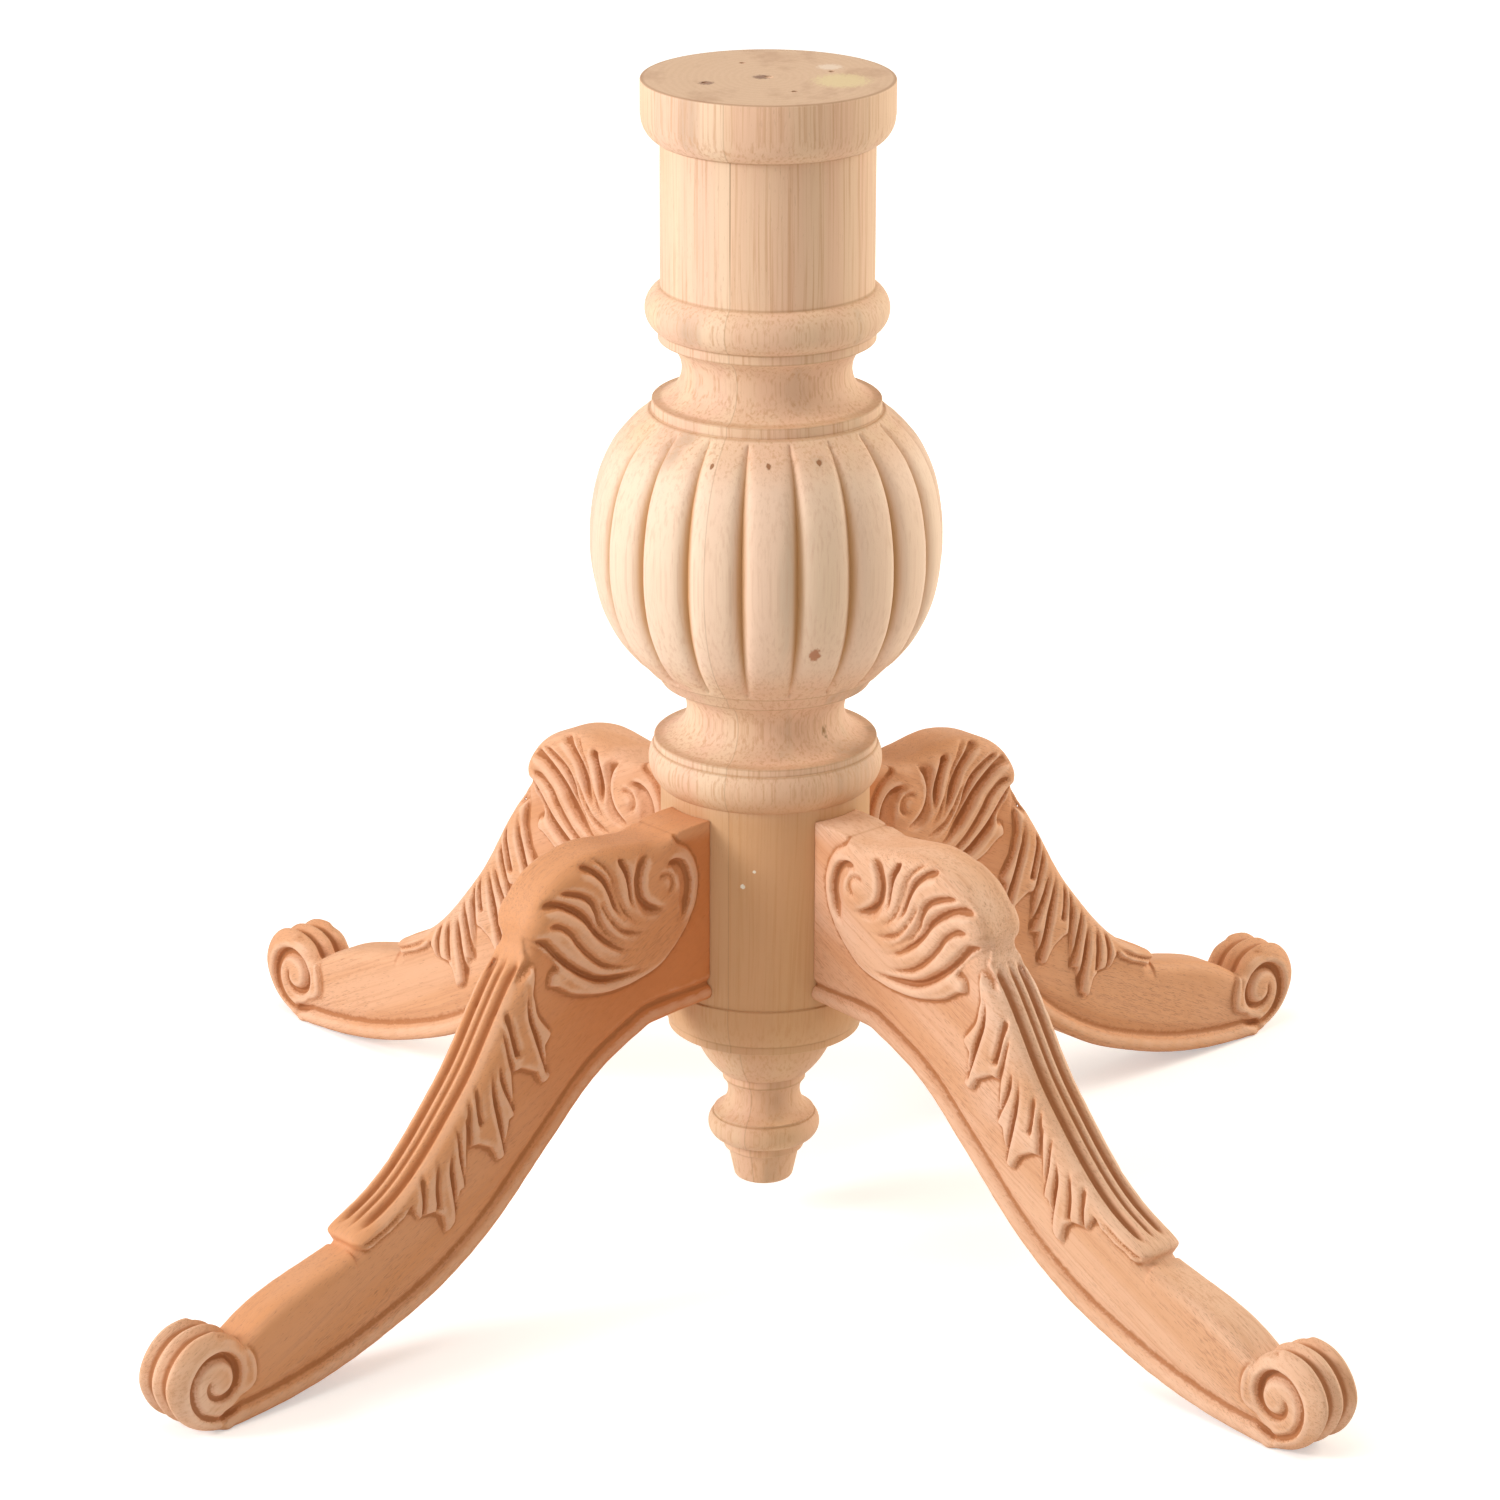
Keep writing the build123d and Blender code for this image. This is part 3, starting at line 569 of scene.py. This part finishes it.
def column_profile(sizes):
    """Half section of the column as radius and height, from the finial's end to the rim of the top."""
    s = sizes.shaft_radius
    foot = COLUMN_FOOT
    rim = TOP_RADIUS
    ball = [(70.6, 359.3), (75.3, 364.3), (80.8, 369.3), (89.1, 379.3), (94.9, 389.3), (99.4, 399.3),
            (102.5, 409.3), (104.5, 419.3), (105.7, 429.3), (BALL_RADIUS, 439.3), (105.6, 449.3),
            (104.5, 459.3), (102.8, 469.3), (100.2, 479.3), (96.2, 489.3), (90.6, 499.3), (82.2, 509.3),
            (76.3, 514.3), (70.6, 519.3)]
    grow = sizes.ball_radius / BALL_RADIUS
    line = [(0.01, foot), (15, foot)]
    line += arc((15, foot), (17.2, foot + 0.8), (18.3, foot + 3), 4)
    line += [(22.0, 44.5), (22.4, 44.7), (24.2, 44.9), (24.6, 45.5), (24.6, 51.6), (25.0, 52.2), (30, 52.2)]
    line += arc((30, 52.2), (34.4, 59.7), (31.9, 67.3), 12)
    line += [(31.1, 67.5), (31.0, 69.0)]
    line += arc((31, 69), (22.7, 78.6), (24.5, 90.3), 12)
    line += [(25.1, 90.5), (25.5, 91), (25.5, 96.7), (28.3, 96.9)]
    line += arc((28.3, 96.9), (39.5, 112), (44.8, 127.1), 12)
    line += [(45.2, 127.4), (58.4, 127.5), (59, 128), (59, 132.7), (60, 133.1)]
    line += arc((60, 133.1), (63.9, 145.3), (64.5, 157.4), 8)
    line += [(64.2, 157.8), (s, 158.1), (s, 285.6), (s + 1, 285.9)]
    line += arc((s + 1, 285.9), (70.8, 300.4), (68.3, 309.9), 14)
    line += [(67.5, 310.3), (67.4, 314.4), (67.0, 314.8), (65.5, 315)]
    line += arc((65.5, 315), (47.7, 334.3), (61, 350.2), 18)
    line += [(62.4, 350.4), (63.0, 350.8), (68.5, 359.0), (69.2, 359.4)]
    line += [(r * grow, z) for r, z in smooth(ball, 5)]
    line += [(69.2, 519.3), (68.6, 519.8), (68.5, 525.6), (68.0, 526.1), (64.8, 526.2)]
    line += arc((64.8, 526.2), (50.6, 544.4), (62.4, 562.4), 18)
    line += [(62.8, 562.6), (64.4, 562.8), (64.7, 563.2), (64.7, 568.6), (65.6, 568.9)]
    line += arc((65.6, 568.9), (72.6, 580.5), (s + 0.1, 594.7), 16)
    line += [(s, 595.2), (s, 682.6), (66, 682.9)]
    line += arc((66, 682.9), (72.1, 688.7), (74.8, 697.6), 8)
    line += [(rim, 698.4), (rim, COLUMN_TOP - 1.2)]
    line += arc((rim, COLUMN_TOP - 1.2), (rim - 0.35, COLUMN_TOP - 0.35), (rim - 1.2, COLUMN_TOP), 4)
    line += [(60, COLUMN_TOP), (30, COLUMN_TOP), (0.01, COLUMN_TOP)]
    return line


def new_mesh_piece(name, places, edges, faces):
    """An object at the origin with its place in its mesh."""
    mesh = bpy.data.meshes.new(name)
    mesh.from_pydata(places, edges, faces)
    piece = bpy.data.objects.new(name, mesh)
    bpy.context.scene.collection.objects.link(piece)
    return piece


def only(piece):
    """Selects one piece and makes it the active one."""
    if bpy.context.object and bpy.context.object.mode != "OBJECT":
        bpy.ops.object.mode_set(mode="OBJECT")
    bpy.ops.object.select_all(action="DESELECT")
    piece.select_set(True)
    bpy.context.view_layer.objects.active = piece


def vertex_places(mesh):
    """The places of the mesh's vertices, one to a row."""
    places = np.empty(3 * len(mesh.vertices))
    mesh.vertices.foreach_get("co", places)
    return places.reshape(-1, 3)


def store(mesh, name, values, kind="FLOAT"):
    """Keeps one value or vector for each vertex of the mesh under a name."""
    attribute = mesh.attributes.new(name, kind, "POINT")
    field = "vector" if kind == "FLOAT_VECTOR" else "value"
    attribute.data.foreach_set(field, np.asarray(values, np.float32).ravel())


def add(tree, kind, inputs=None, **settings):
    """A node of that kind; an input that is given a socket is linked, and any other is set."""
    node = tree.nodes.new("ShaderNode" + kind)
    for name, value in settings.items():
        setattr(node, name, value)
    for name, value in (inputs or {}).items():
        if isinstance(value, bpy.types.NodeSocket):
            tree.links.new(value, node.inputs[name])
        else:
            node.inputs[name].default_value = value
    return node


def math(tree, operation, a, b=0.0):
    """The result of one sum on values."""
    return add(tree, "Math", {0: a, 1: b}, operation=operation).outputs[0]


def mix(tree, factor, a, b):
    """Two colours mixed by a factor."""
    return add(tree, "Mix", {0: factor, 6: a, 7: b}, data_type="RGBA").outputs[2]


def tint(tree, colour, tone, mask, share):
    """A colour brought towards a tone by a share of a mask."""
    return mix(tree, math(tree, "MULTIPLY", mask, share), colour, tone)


def fade(tree, value, low, high, to_low=0.0, to_high=1.0):
    """A value brought smoothly from one range to another."""
    node = add(tree, "MapRange", {0: value, 1: low, 2: high, 3: to_low, 4: to_high},
               interpolation_type="SMOOTHSTEP")
    return node.outputs[0]


def stretched(tree, vector, scale):
    """A place, stretched along its axes."""
    return add(tree, "VectorMath", {0: vector, 1: scale}, operation="MULTIPLY").outputs[0]


def length(tree, vector):
    """The length of a vector."""
    return add(tree, "VectorMath", {0: vector}, operation="LENGTH").outputs["Value"]


def noise(tree, vector, scale, detail=2.0, rough=0.5):
    """A soft random value that changes with place."""
    return add(tree, "TexNoise", {"Vector": stretched(tree, vector, scale), "Scale": 1.0, "Detail": detail,
                                  "Roughness": rough}).outputs[0]


def new_group(name, inputs, outputs):
    """A node group with these inputs and outputs, and its two end nodes."""
    tree = bpy.data.node_groups.new(name, "ShaderNodeTree")
    for label, kind in inputs:
        tree.interface.new_socket(name=label, in_out="INPUT", socket_type="NodeSocket" + kind)
    for label, kind in outputs:
        tree.interface.new_socket(name=label, in_out="OUTPUT", socket_type="NodeSocket" + kind)
    return tree, tree.nodes.new("NodeGroupInput"), tree.nodes.new("NodeGroupOutput")


def build_grain():
    """Grain that runs along Z of the place: broad bands, fine fibres, short pores and their relief."""
    tree, given, put = new_group("Wood grain", [("Place", "Vector"), ("Fleck Level", "Float")],
                                 [("Bands", "Float"), ("Fibres", "Float"), ("Flecks", "Float"),
                                  ("Relief", "Float")])
    place = given.outputs["Place"]
    wander = noise(tree, place, (9, 9, 3), 2)
    shift = add(tree, "CombineXYZ", {"X": math(tree, "MULTIPLY", wander, 0.02),
                                     "Y": math(tree, "MULTIPLY", wander, 0.014)}).outputs[0]
    bent = add(tree, "VectorMath", {0: place, 1: shift}, operation="ADD").outputs[0]
    bands = noise(tree, bent, (34, 34, 1.6), 3, 0.55)
    fibres = noise(tree, bent, (520, 520, 7), 4, 0.65)
    flecks = noise(tree, bent, (1900, 1900, 170), 1)
    patches = noise(tree, place, (16, 16, 7), 1)
    level = math(tree, "SUBTRACT", given.outputs["Fleck Level"], math(tree, "MULTIPLY", patches, 0.3))
    shown = fade(tree, math(tree, "SUBTRACT", flecks, level), 0.0, 0.06)
    relief = math(tree, "SUBTRACT", math(tree, "MULTIPLY", fibres, 0.5), math(tree, "MULTIPLY", shown, 0.5))
    for label, value in (("Bands", bands), ("Fibres", fibres), ("Flecks", shown), ("Relief", relief)):
        tree.links.new(value, put.inputs[label])
    return tree


def build_spot():
    """A round or stretched mark at one place: 1 in its middle and 0 outside its size."""
    tree, given, put = new_group("Wood mark", [("Place", "Vector"), ("Middle", "Vector"),
                                               ("Size", "Vector")], [("Mark", "Float")])
    place = given.outputs["Place"]
    away = add(tree, "VectorMath", {0: place, 1: given.outputs["Middle"]}, operation="SUBTRACT").outputs[0]
    share = add(tree, "VectorMath", {0: away, 1: given.outputs["Size"]}, operation="DIVIDE").outputs[0]
    rough = math(tree, "SUBTRACT", noise(tree, place, (500, 500, 260), 2), 0.5)
    edge = math(tree, "ADD", length(tree, share), math(tree, "MULTIPLY", rough, 1.1))
    tree.links.new(fade(tree, edge, 0.55, 1.0, 1.0, 0.0), put.inputs["Mark"])
    return tree


def new_material(name):
    """The nodes of a new material and its Principled shader."""
    material = bpy.data.materials.new(name)
    material.use_nodes = True
    tree = material.node_tree
    return tree, tree.nodes["Principled BSDF"]


def wood_finish(tree, shader, colour, relief, strength):
    """Links a wood's colour and relief to its shader and gives it the finish of sanded bare wood."""
    tree.links.new(colour, shader.inputs["Base Color"])
    bump = add(tree, "Bump", {"Height": relief, "Strength": strength, "Distance": 0.0006})
    tree.links.new(bump.outputs[0], shader.inputs["Normal"])
    rough = fade(tree, relief, 0.0, 0.5, 0.72, 0.55)
    tree.links.new(rough, shader.inputs["Roughness"])
    shader.inputs["Specular IOR Level"].default_value = 0.3


def column_wood(colours, grain_group, spot_group):
    """Pale glued-up wood of the column, with a seam, streaks, small knots and an end-grain top, and painted
    shade in its flutes, its creases and on its low shaft.
    """
    tree, shader = new_material("Column_wood")
    place = add(tree, "TexCoord").outputs["Object"]
    height = add(tree, "SeparateXYZ", {0: place}).outputs["Z"]
    grain = add(tree, "Group", {"Place": place, "Fleck Level": COLUMN_FLECKS}, node_tree=grain_group)
    seam_turn = radians(108.4)
    turned = add(tree, "VectorRotate", {"Vector": place, "Angle": seam_turn}, rotation_type="Z_AXIS")
    across = add(tree, "SeparateXYZ", {0: turned.outputs[0]})
    bands = fade(tree, grain.outputs["Bands"], 0.40, 0.62)
    colour = mix(tree, bands, tuple(colours.column), tuple(colours.column_pink))
    board = fade(tree, across.outputs["Y"], -0.0002, 0.0002)
    colour = tint(tree, colour, DARK_BOARD, board, 0.42)
    yellow = fade(tree, noise(tree, place, (11, 11, 2.2), 2), 0.55, 0.72)
    colour = tint(tree, colour, YELLOW_PATCH, yellow, 0.42)
    grey = fade(tree, noise(tree, place, (26, 26, 1.4), 3), 0.6, 0.74)
    colour = tint(tree, colour, GREY_STREAK, grey, 0.62)
    colour = mix(tree, fade(tree, grain.outputs["Fibres"], 0.46, 0.68, 0.0, 0.65), colour, COLUMN_FIBRE)
    colour = tint(tree, colour, COLUMN_FLECK, grain.outputs["Flecks"], 0.22)
    # Painted shade, partly the wood's own deeper tone: the low shaft and the drum between the legs darker
    # and more orange-brown, less so near the foot
    low = math(tree, "MULTIPLY", fade(tree, height, 0.275, 0.31, 1.0, 0.0),
               fade(tree, height, 0.10, 0.15, 0.35, 1.0))
    colour = tint(tree, colour, LOW_SHAFT_TONE_AND_SHADE, low, 0.72)
    ball = math(tree, "MULTIPLY", fade(tree, height, 0.365, 0.39),
                fade(tree, height, 0.49, 0.515, 1.0, 0.0))
    colour = tint(tree, colour, PALE_BALL, ball, 0.42)
    # Painted shade in the ball's flutes, darker where they are cut deeper
    carved = add(tree, "Attribute", attribute_name="carved").outputs["Fac"]
    colour = mix(tree, fade(tree, carved, 0.25, 0.95, 0.0, 0.85), colour, FLUTE_SHADE)
    gap = None
    for level in CREASES:
        off = math(tree, "ABSOLUTE", math(tree, "SUBTRACT", height, level * MM))
        gap = off if gap is None else math(tree, "MINIMUM", gap, off)
    colour = mix(tree, fade(tree, gap, 0.0002, 0.0013, 0.4, 0.0), colour, CREASE_SHADE)
    seam = fade(tree, math(tree, "ABSOLUTE", across.outputs["Y"]), 0.0001, 0.0006, 1.0, 0.0)
    split = math(tree, "MULTIPLY", fade(tree, height, 0.60, 0.64),
                 fade(tree, height, 0.682, 0.683, 1.0, 0.0))
    seam = math(tree, "MULTIPLY", seam, math(tree, "ADD", math(tree, "MULTIPLY", split, 0.5), 0.28))
    front = fade(tree, across.outputs["X"], -0.001, 0.001)
    colour = tint(tree, colour, GLUE_LINE, seam, front)
    for middle, size, tone in COLUMN_MARKS:
        mark = add(tree, "Group", {"Place": place, "Middle": middle, "Size": size}, node_tree=spot_group)
        colour = mix(tree, mark.outputs["Mark"], colour, tone)

    end = fade(tree, height, (COLUMN_TOP - 0.9) * MM, (COLUMN_TOP - 0.2) * MM)
    rings = add(tree, "TexWave", {"Vector": stretched(tree, place, (1, 0.8, 0)), "Scale": 70,
                                  "Distortion": 5, "Detail": 3, "Detail Scale": 6},
                wave_type="RINGS", rings_direction="Z")
    top = tint(tree, END_GRAIN, END_RING, rings.outputs["Fac"], 0.14)
    stain = fade(tree, noise(tree, place, (38, 26, 1), 4, 0.6), 0.5, 0.72)
    top = tint(tree, top, END_STAIN, stain, 0.42)
    for middle, size, share, tone in TOP_MARKS:
        mark = add(tree, "Group", {"Place": place, "Middle": (*middle, COLUMN_TOP * MM), "Size": size},
                   node_tree=spot_group)
        top = tint(tree, top, tone, mark.outputs["Mark"], share)
    radius = length(tree, stretched(tree, place, (1, 1, 0)))
    top = mix(tree, fade(tree, radius, 0.0722, 0.0740, 0.0, 0.5), top, END_RIM)
    colour = mix(tree, end, colour, top)
    wood_finish(tree, shader, colour, grain.outputs["Relief"], 0.35)


def leg_wood(colours, grain_group):
    """Pink-orange wood of the legs, with short flecks, painted shade in the carved grooves and on the
    ground by the column, painted highlights on the ridges, and a deeper tone that is partly painted shade.
    """
    tree, shader = new_material("Leg_wood")
    place = add(tree, "Attribute", attribute_name="grain_place").outputs["Vector"]
    carved, tone, inner = (add(tree, "Attribute", attribute_name=name).outputs["Fac"]
                           for name in ("carved", "tone", "inner"))
    grain = add(tree, "Group", {"Place": place, "Fleck Level": LEG_FLECKS}, node_tree=grain_group)
    colour = mix(tree, fade(tree, grain.outputs["Bands"], 0.38, 0.64), tuple(colours.leg), LEG_BAND)
    pale = fade(tree, noise(tree, place, (20, 20, 8), 3), 0.52, 0.7)
    colour = tint(tree, colour, LEG_PALE, pale, 0.5)
    # Partly the wood's own tone and partly painted shade: each leg brought towards deep orange by its tone,
    # most on the legs turned from the key lamp
    colour = tint(tree, colour, LEG_ORANGE_AND_SHADE, tone, 0.78)
    colour = mix(tree, fade(tree, grain.outputs["Fibres"], 0.45, 0.7, 0.0, 0.5), colour, LEG_FIBRE)
    colour = tint(tree, colour, LEG_FLECK, grain.outputs["Flecks"], 0.36)
    # Painted shade on the ground near the column, stronger on the legs with more tone
    deep = math(tree, "ADD", math(tree, "MULTIPLY", tone, 0.65), 0.15)
    colour = tint(tree, colour, LEG_INNER_SHADE, inner, deep)
    # Painted shade in the carved grooves and hollows, and painted highlight on the ridges
    colour = mix(tree, fade(tree, carved, 0.08, 0.55, 0.0, 0.85), colour, tuple(colours.leg_groove_shade))
    colour = mix(tree, fade(tree, carved, -0.1, -0.5, 0.0, 0.42), colour, LEG_RIDGE_HIGHLIGHT)
    wood_finish(tree, shader, colour, grain.outputs["Relief"], 0.4)


def dowel_wood(grain_group):
    """Plain pale wood of the hidden dowels."""
    tree, shader = new_material("Dowel_wood")
    place = add(tree, "TexCoord").outputs["Object"]
    grain = add(tree, "Group", {"Place": place, "Fleck Level": COLUMN_FLECKS}, node_tree=grain_group)
    colour = mix(tree, grain.outputs["Fibres"], DOWEL_PALE, DOWEL_FIBRE)
    wood_finish(tree, shader, colour, grain.outputs["Relief"], 0.3)


def flute_ball(mesh, sizes):
    """Draws the column's points together towards the flutes, sinks them and stores how deep they lie."""
    co = vertex_places(mesh) / MM
    r = np.hypot(co[:, 0], co[:, 1])
    period = 2 * pi / sizes.flutes
    share = np.arctan2(co[:, 1], co[:, 0]) / period
    flute = np.round(share)
    share = share - flute
    share = np.sign(share) * 0.5 * np.abs(2 * share) ** 1.5
    angle = (flute + share) * period + radians(sizes.first_flute)
    along = (co[:, 2] - FLUTES_FROM) / (FLUTES_TO - FLUTES_FROM)
    full = np.clip(np.sin(pi * np.clip(along, 0, 1)), 0, 1) ** 0.32
    side = np.abs(share) * period * r
    half = np.maximum(sizes.flute_width / 2 * full, 1e-6)
    valley = np.clip(1 - side / half, 0, 1)
    lobe = np.clip(1 - side / (half * 2.6), 0, 1) ** 1.6
    depth = sizes.flute_depth * full * (0.56 * valley ** 0.9 + 0.44 * lobe)
    depth[(along <= 0) | (along >= 1)] = 0
    store(mesh, "carved", depth / sizes.flute_depth)
    r = r - depth
    co[:, 0], co[:, 1] = r * np.cos(angle), r * np.sin(angle)
    mesh.vertices.foreach_set("co", (co * MM).ravel())


def drill_top(column):
    """Cuts the pilot holes and the lathe's centre mark with drills that stand half above the top."""
    bpy.ops.object.select_all(action="DESELECT")
    bpy.ops.mesh.primitive_cone_add(vertices=24, radius1=0, radius2=2 * CENTRE_MARK_RADIUS * MM,
                                    depth=2 * CENTRE_MARK_DEPTH * MM, location=(0, 0, COLUMN_TOP * MM))
    drills = [bpy.context.object]
    for i in range(PILOTS):
        turn = radians(FIRST_PILOT + 360 / PILOTS * i)
        place = (PILOT_CIRCLE * MM * cos(turn), PILOT_CIRCLE * MM * sin(turn), COLUMN_TOP * MM)
        bpy.ops.mesh.primitive_cylinder_add(vertices=20, radius=PILOT_RADIUS * MM,
                                            depth=2 * PILOT_DEPTH * MM, location=place)
        drills.append(bpy.context.object)
    for drill in drills:
        drill.select_set(True)
    bpy.ops.object.join()
    drill = bpy.context.object
    only(column)
    cut = column.modifiers.new("Holes", "BOOLEAN")
    cut.object = drill
    cut.operation = "DIFFERENCE"
    bpy.ops.object.modifier_apply(modifier=cut.name)
    bpy.data.objects.remove(drill)


class PEDESTAL_OT_woods(bpy.types.Operator):
    """Make the woods of the column, the legs and the dowels"""

    bl_idname = "pedestal.woods"
    bl_label = "Make the woods"

    def execute(self, context):
        colours = context.scene.pedestal_colours
        grain_group = build_grain()
        column_wood(colours, grain_group, build_spot())
        leg_wood(colours, grain_group)
        dowel_wood(grain_group)
        for name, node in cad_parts.items():
            if name.startswith("dowel_"):
                node.data.materials.clear()
                node.data.materials.append(bpy.data.materials["Dowel_wood"])
        return {"FINISHED"}


class PEDESTAL_OT_column(bpy.types.Operator):
    """Turn the column, flute its ball and drill its top"""

    bl_idname = "pedestal.column"
    bl_label = "Turn the column"

    def execute(self, context):
        sizes = context.scene.pedestal_column
        line = [(r * MM, 0, z * MM) for r, z in column_profile(sizes)]
        edges = [(i, i + 1) for i in range(len(line) - 1)]
        column = new_mesh_piece("Turned_column", line, edges, [])
        only(column)
        points_per_flute = 16
        bpy.ops.object.mode_set(mode="EDIT")
        bpy.ops.mesh.select_all(action="SELECT")
        bpy.ops.mesh.spin(steps=sizes.flutes * points_per_flute, angle=2 * pi, center=(0, 0, 0),
                          axis=(0, 0, 1))
        bpy.ops.mesh.select_all(action="SELECT")
        bpy.ops.mesh.remove_doubles(threshold=0.03 * MM)
        bpy.ops.mesh.normals_make_consistent(inside=False)
        bpy.ops.object.mode_set(mode="OBJECT")
        flute_ball(column.data, sizes)
        drill_top(column)
        bpy.ops.object.shade_smooth_by_angle(angle=radians(32))
        column.data.materials.append(bpy.data.materials["Column_wood"])
        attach(column, "root")
        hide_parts("turned_column")
        return {"FINISHED"}


class PEDESTAL_OT_legs(bpy.types.Operator):
    """Carve one leg and set four of it round the column"""

    bl_idname = "pedestal.legs"
    bl_label = "Carve the legs"

    def execute(self, context):
        sizes = context.scene.pedestal_leg
        places, faces, maps = leg_skin(sizes, context.scene.pedestal_column.shaft_radius)
        rough = new_mesh_piece("Rough_leg", places, [], faces)
        only(rough)
        thin = rough.modifiers.new("Thin", "DECIMATE")
        thin.ratio = sizes.triangles / (2 * len(faces))
        bpy.ops.object.modifier_apply(modifier=thin.name)
        places = vertex_places(rough.data)
        places[:, 2] = np.maximum(places[:, 2], 0)
        faces = [tuple(face.vertices) for face in rough.data.polygons]
        bpy.data.objects.remove(rough)
        carved, inner = shades(places, maps, sizes.fineness)
        slope = radians(GRAIN_SLOPE)
        along = places[:, 0] * cos(slope) + places[:, 2] * sin(slope)
        over = -places[:, 0] * sin(slope) + places[:, 2] * cos(slope)
        grain = np.stack([places[:, 1], over, along], 1)
        in_foot = ease(places[:, 0], 425, 455)
        for i, (node, angle, tone, end) in enumerate(zip(LEG_NODES, LEG_ANGLES, LEG_TONES_AND_SHADE, FOOT_TONES_AND_SHADE)):
            turn = np.array(Matrix.Rotation(radians(angle), 3, "Z"))
            leg = new_mesh_piece("Carved_" + node, places @ turn.T * MM, [], faces)
            store(leg.data, "grain_place", (grain + GRAIN_SHIFT * i) * MM, "FLOAT_VECTOR")
            # How deep each place lies in the carving, for the painted shade in grooves and the painted
            # highlight on ridges
            store(leg.data, "carved", carved)
            # The leg's tone, partly painted shade, blending into its foot's tone
            store(leg.data, "tone", tone + (end - tone) * in_foot)
            store(leg.data, "inner", inner)
            only(leg)
            bpy.ops.object.shade_smooth()
            leg.data.materials.append(bpy.data.materials["Leg_wood"])
            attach(leg, "root")
            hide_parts(node)
        return {"FINISHED"}


def seen_rays(tree):
    """1 for the rays that show the stage itself, straight, mirrored or let through, and 0 for its light."""
    rays = add(tree, "LightPath").outputs
    indirect = math(tree, "MAXIMUM", rays["Is Glossy Ray"], rays["Is Transmission Ray"])
    return math(tree, "MAXIMUM", rays["Is Camera Ray"], indirect)


class PEDESTAL_OT_stage(bpy.types.Operator):
    """Lay the floor, hang the lamps and place the camera"""

    bl_idname = "pedestal.stage"
    bl_label = "Set the stage"

    def execute(self, context):
        scene = context.scene
        bpy.ops.object.select_all(action="DESELECT")
        bpy.ops.mesh.primitive_circle_add(vertices=96, radius=40, fill_type="NGON", location=(0, 0, 0))
        floor = context.object
        floor.name = "Floor"
        tree, shader = new_material("Floor_white")
        shader.inputs["Base Color"].default_value = (0.86, 0.86, 0.86, 1)
        shader.inputs["Roughness"].default_value = 0.9
        shader.inputs["Specular IOR Level"].default_value = 0.0
        shader.inputs["Emission Color"].default_value = WHITE
        away = length(tree, add(tree, "TexCoord").outputs["Object"])
        glow = fade(tree, away, 0.75, 1.7, 0.42, 0.66)
        tree.links.new(math(tree, "MULTIPLY", seen_rays(tree), glow), shader.inputs["Emission Strength"])
        floor.data.materials.append(bpy.data.materials["Floor_white"])

        world = bpy.data.worlds.new("Soft_studio")
        scene.world = world
        world.use_nodes = True
        tree = world.node_tree
        seen = seen_rays(tree)
        strength = add(tree, "MapRange", {0: seen, 3: WORLD_STRENGTH, 4: 1.0}).outputs[0]
        background = tree.nodes["Background"]
        tree.links.new(mix(tree, seen, WORLD_TINT, WHITE), background.inputs["Color"])
        tree.links.new(strength, background.inputs["Strength"])

        for name, place, size, power, shade in LAMPS:
            lamp = bpy.data.lights.new(name, "AREA")
            lamp.energy = power
            lamp.color = shade
            lamp.size = size
            hung = bpy.data.objects.new(name, lamp)
            scene.collection.objects.link(hung)
            hung.location = place
            hung.rotation_euler = (Vector(LAMPS_AIM) - Vector(place)).to_track_quat("-Z", "Y").to_euler()

        camera = bpy.data.cameras.new("Camera")
        camera.sensor_width = 36
        camera.lens = CAMERA_LENS
        camera.clip_end = 100
        stand = bpy.data.objects.new("Camera", camera)
        scene.collection.objects.link(stand)
        stand.location = CAMERA_PLACE
        turn = (Matrix.Rotation(radians(CAMERA_LEFT), 3, "Z")
                @ Matrix.Rotation(radians(90 - CAMERA_DOWN), 3, "X")
                @ Matrix.Rotation(radians(CAMERA_ROLL), 3, "Z"))
        stand.rotation_euler = turn.to_euler()
        scene.camera = stand
        scene.view_settings.view_transform = "Standard"
        return {"FINISHED"}


class PEDESTAL_PT_panel(bpy.types.Panel):
    """Sizes and steps of the pedestal table base"""

    bl_idname = "PEDESTAL_PT_panel"
    bl_label = "Pedestal table base"
    bl_space_type = "VIEW_3D"
    bl_region_type = "UI"
    bl_category = "Pedestal"

    def draw(self, context):
        layout = self.layout
        scene = context.scene
        for group in (scene.pedestal_column, scene.pedestal_leg, scene.pedestal_colours):
            box = layout.box()
            for name in group.__annotations__:
                box.prop(group, name)
        for step in STEPS:
            layout.operator(step.bl_idname)


STEPS = (PEDESTAL_OT_woods, PEDESTAL_OT_column, PEDESTAL_OT_legs, PEDESTAL_OT_stage)
CLASSES = (ColumnSizes, LegSizes, WoodColours, *STEPS, PEDESTAL_PT_panel)


def register():
    for cls in CLASSES:
        bpy.utils.register_class(cls)
    bpy.types.Scene.pedestal_column = PointerProperty(type=ColumnSizes)
    bpy.types.Scene.pedestal_leg = PointerProperty(type=LegSizes)
    bpy.types.Scene.pedestal_colours = PointerProperty(type=WoodColours)


def unregister():
    del bpy.types.Scene.pedestal_colours
    del bpy.types.Scene.pedestal_leg
    del bpy.types.Scene.pedestal_column
    for cls in reversed(CLASSES):
        bpy.utils.unregister_class(cls)


def main():
    register()
    bpy.ops.pedestal.woods()
    bpy.ops.pedestal.column()
    bpy.ops.pedestal.legs()
    bpy.ops.pedestal.stage()


if __name__ == "__main__":
    main()
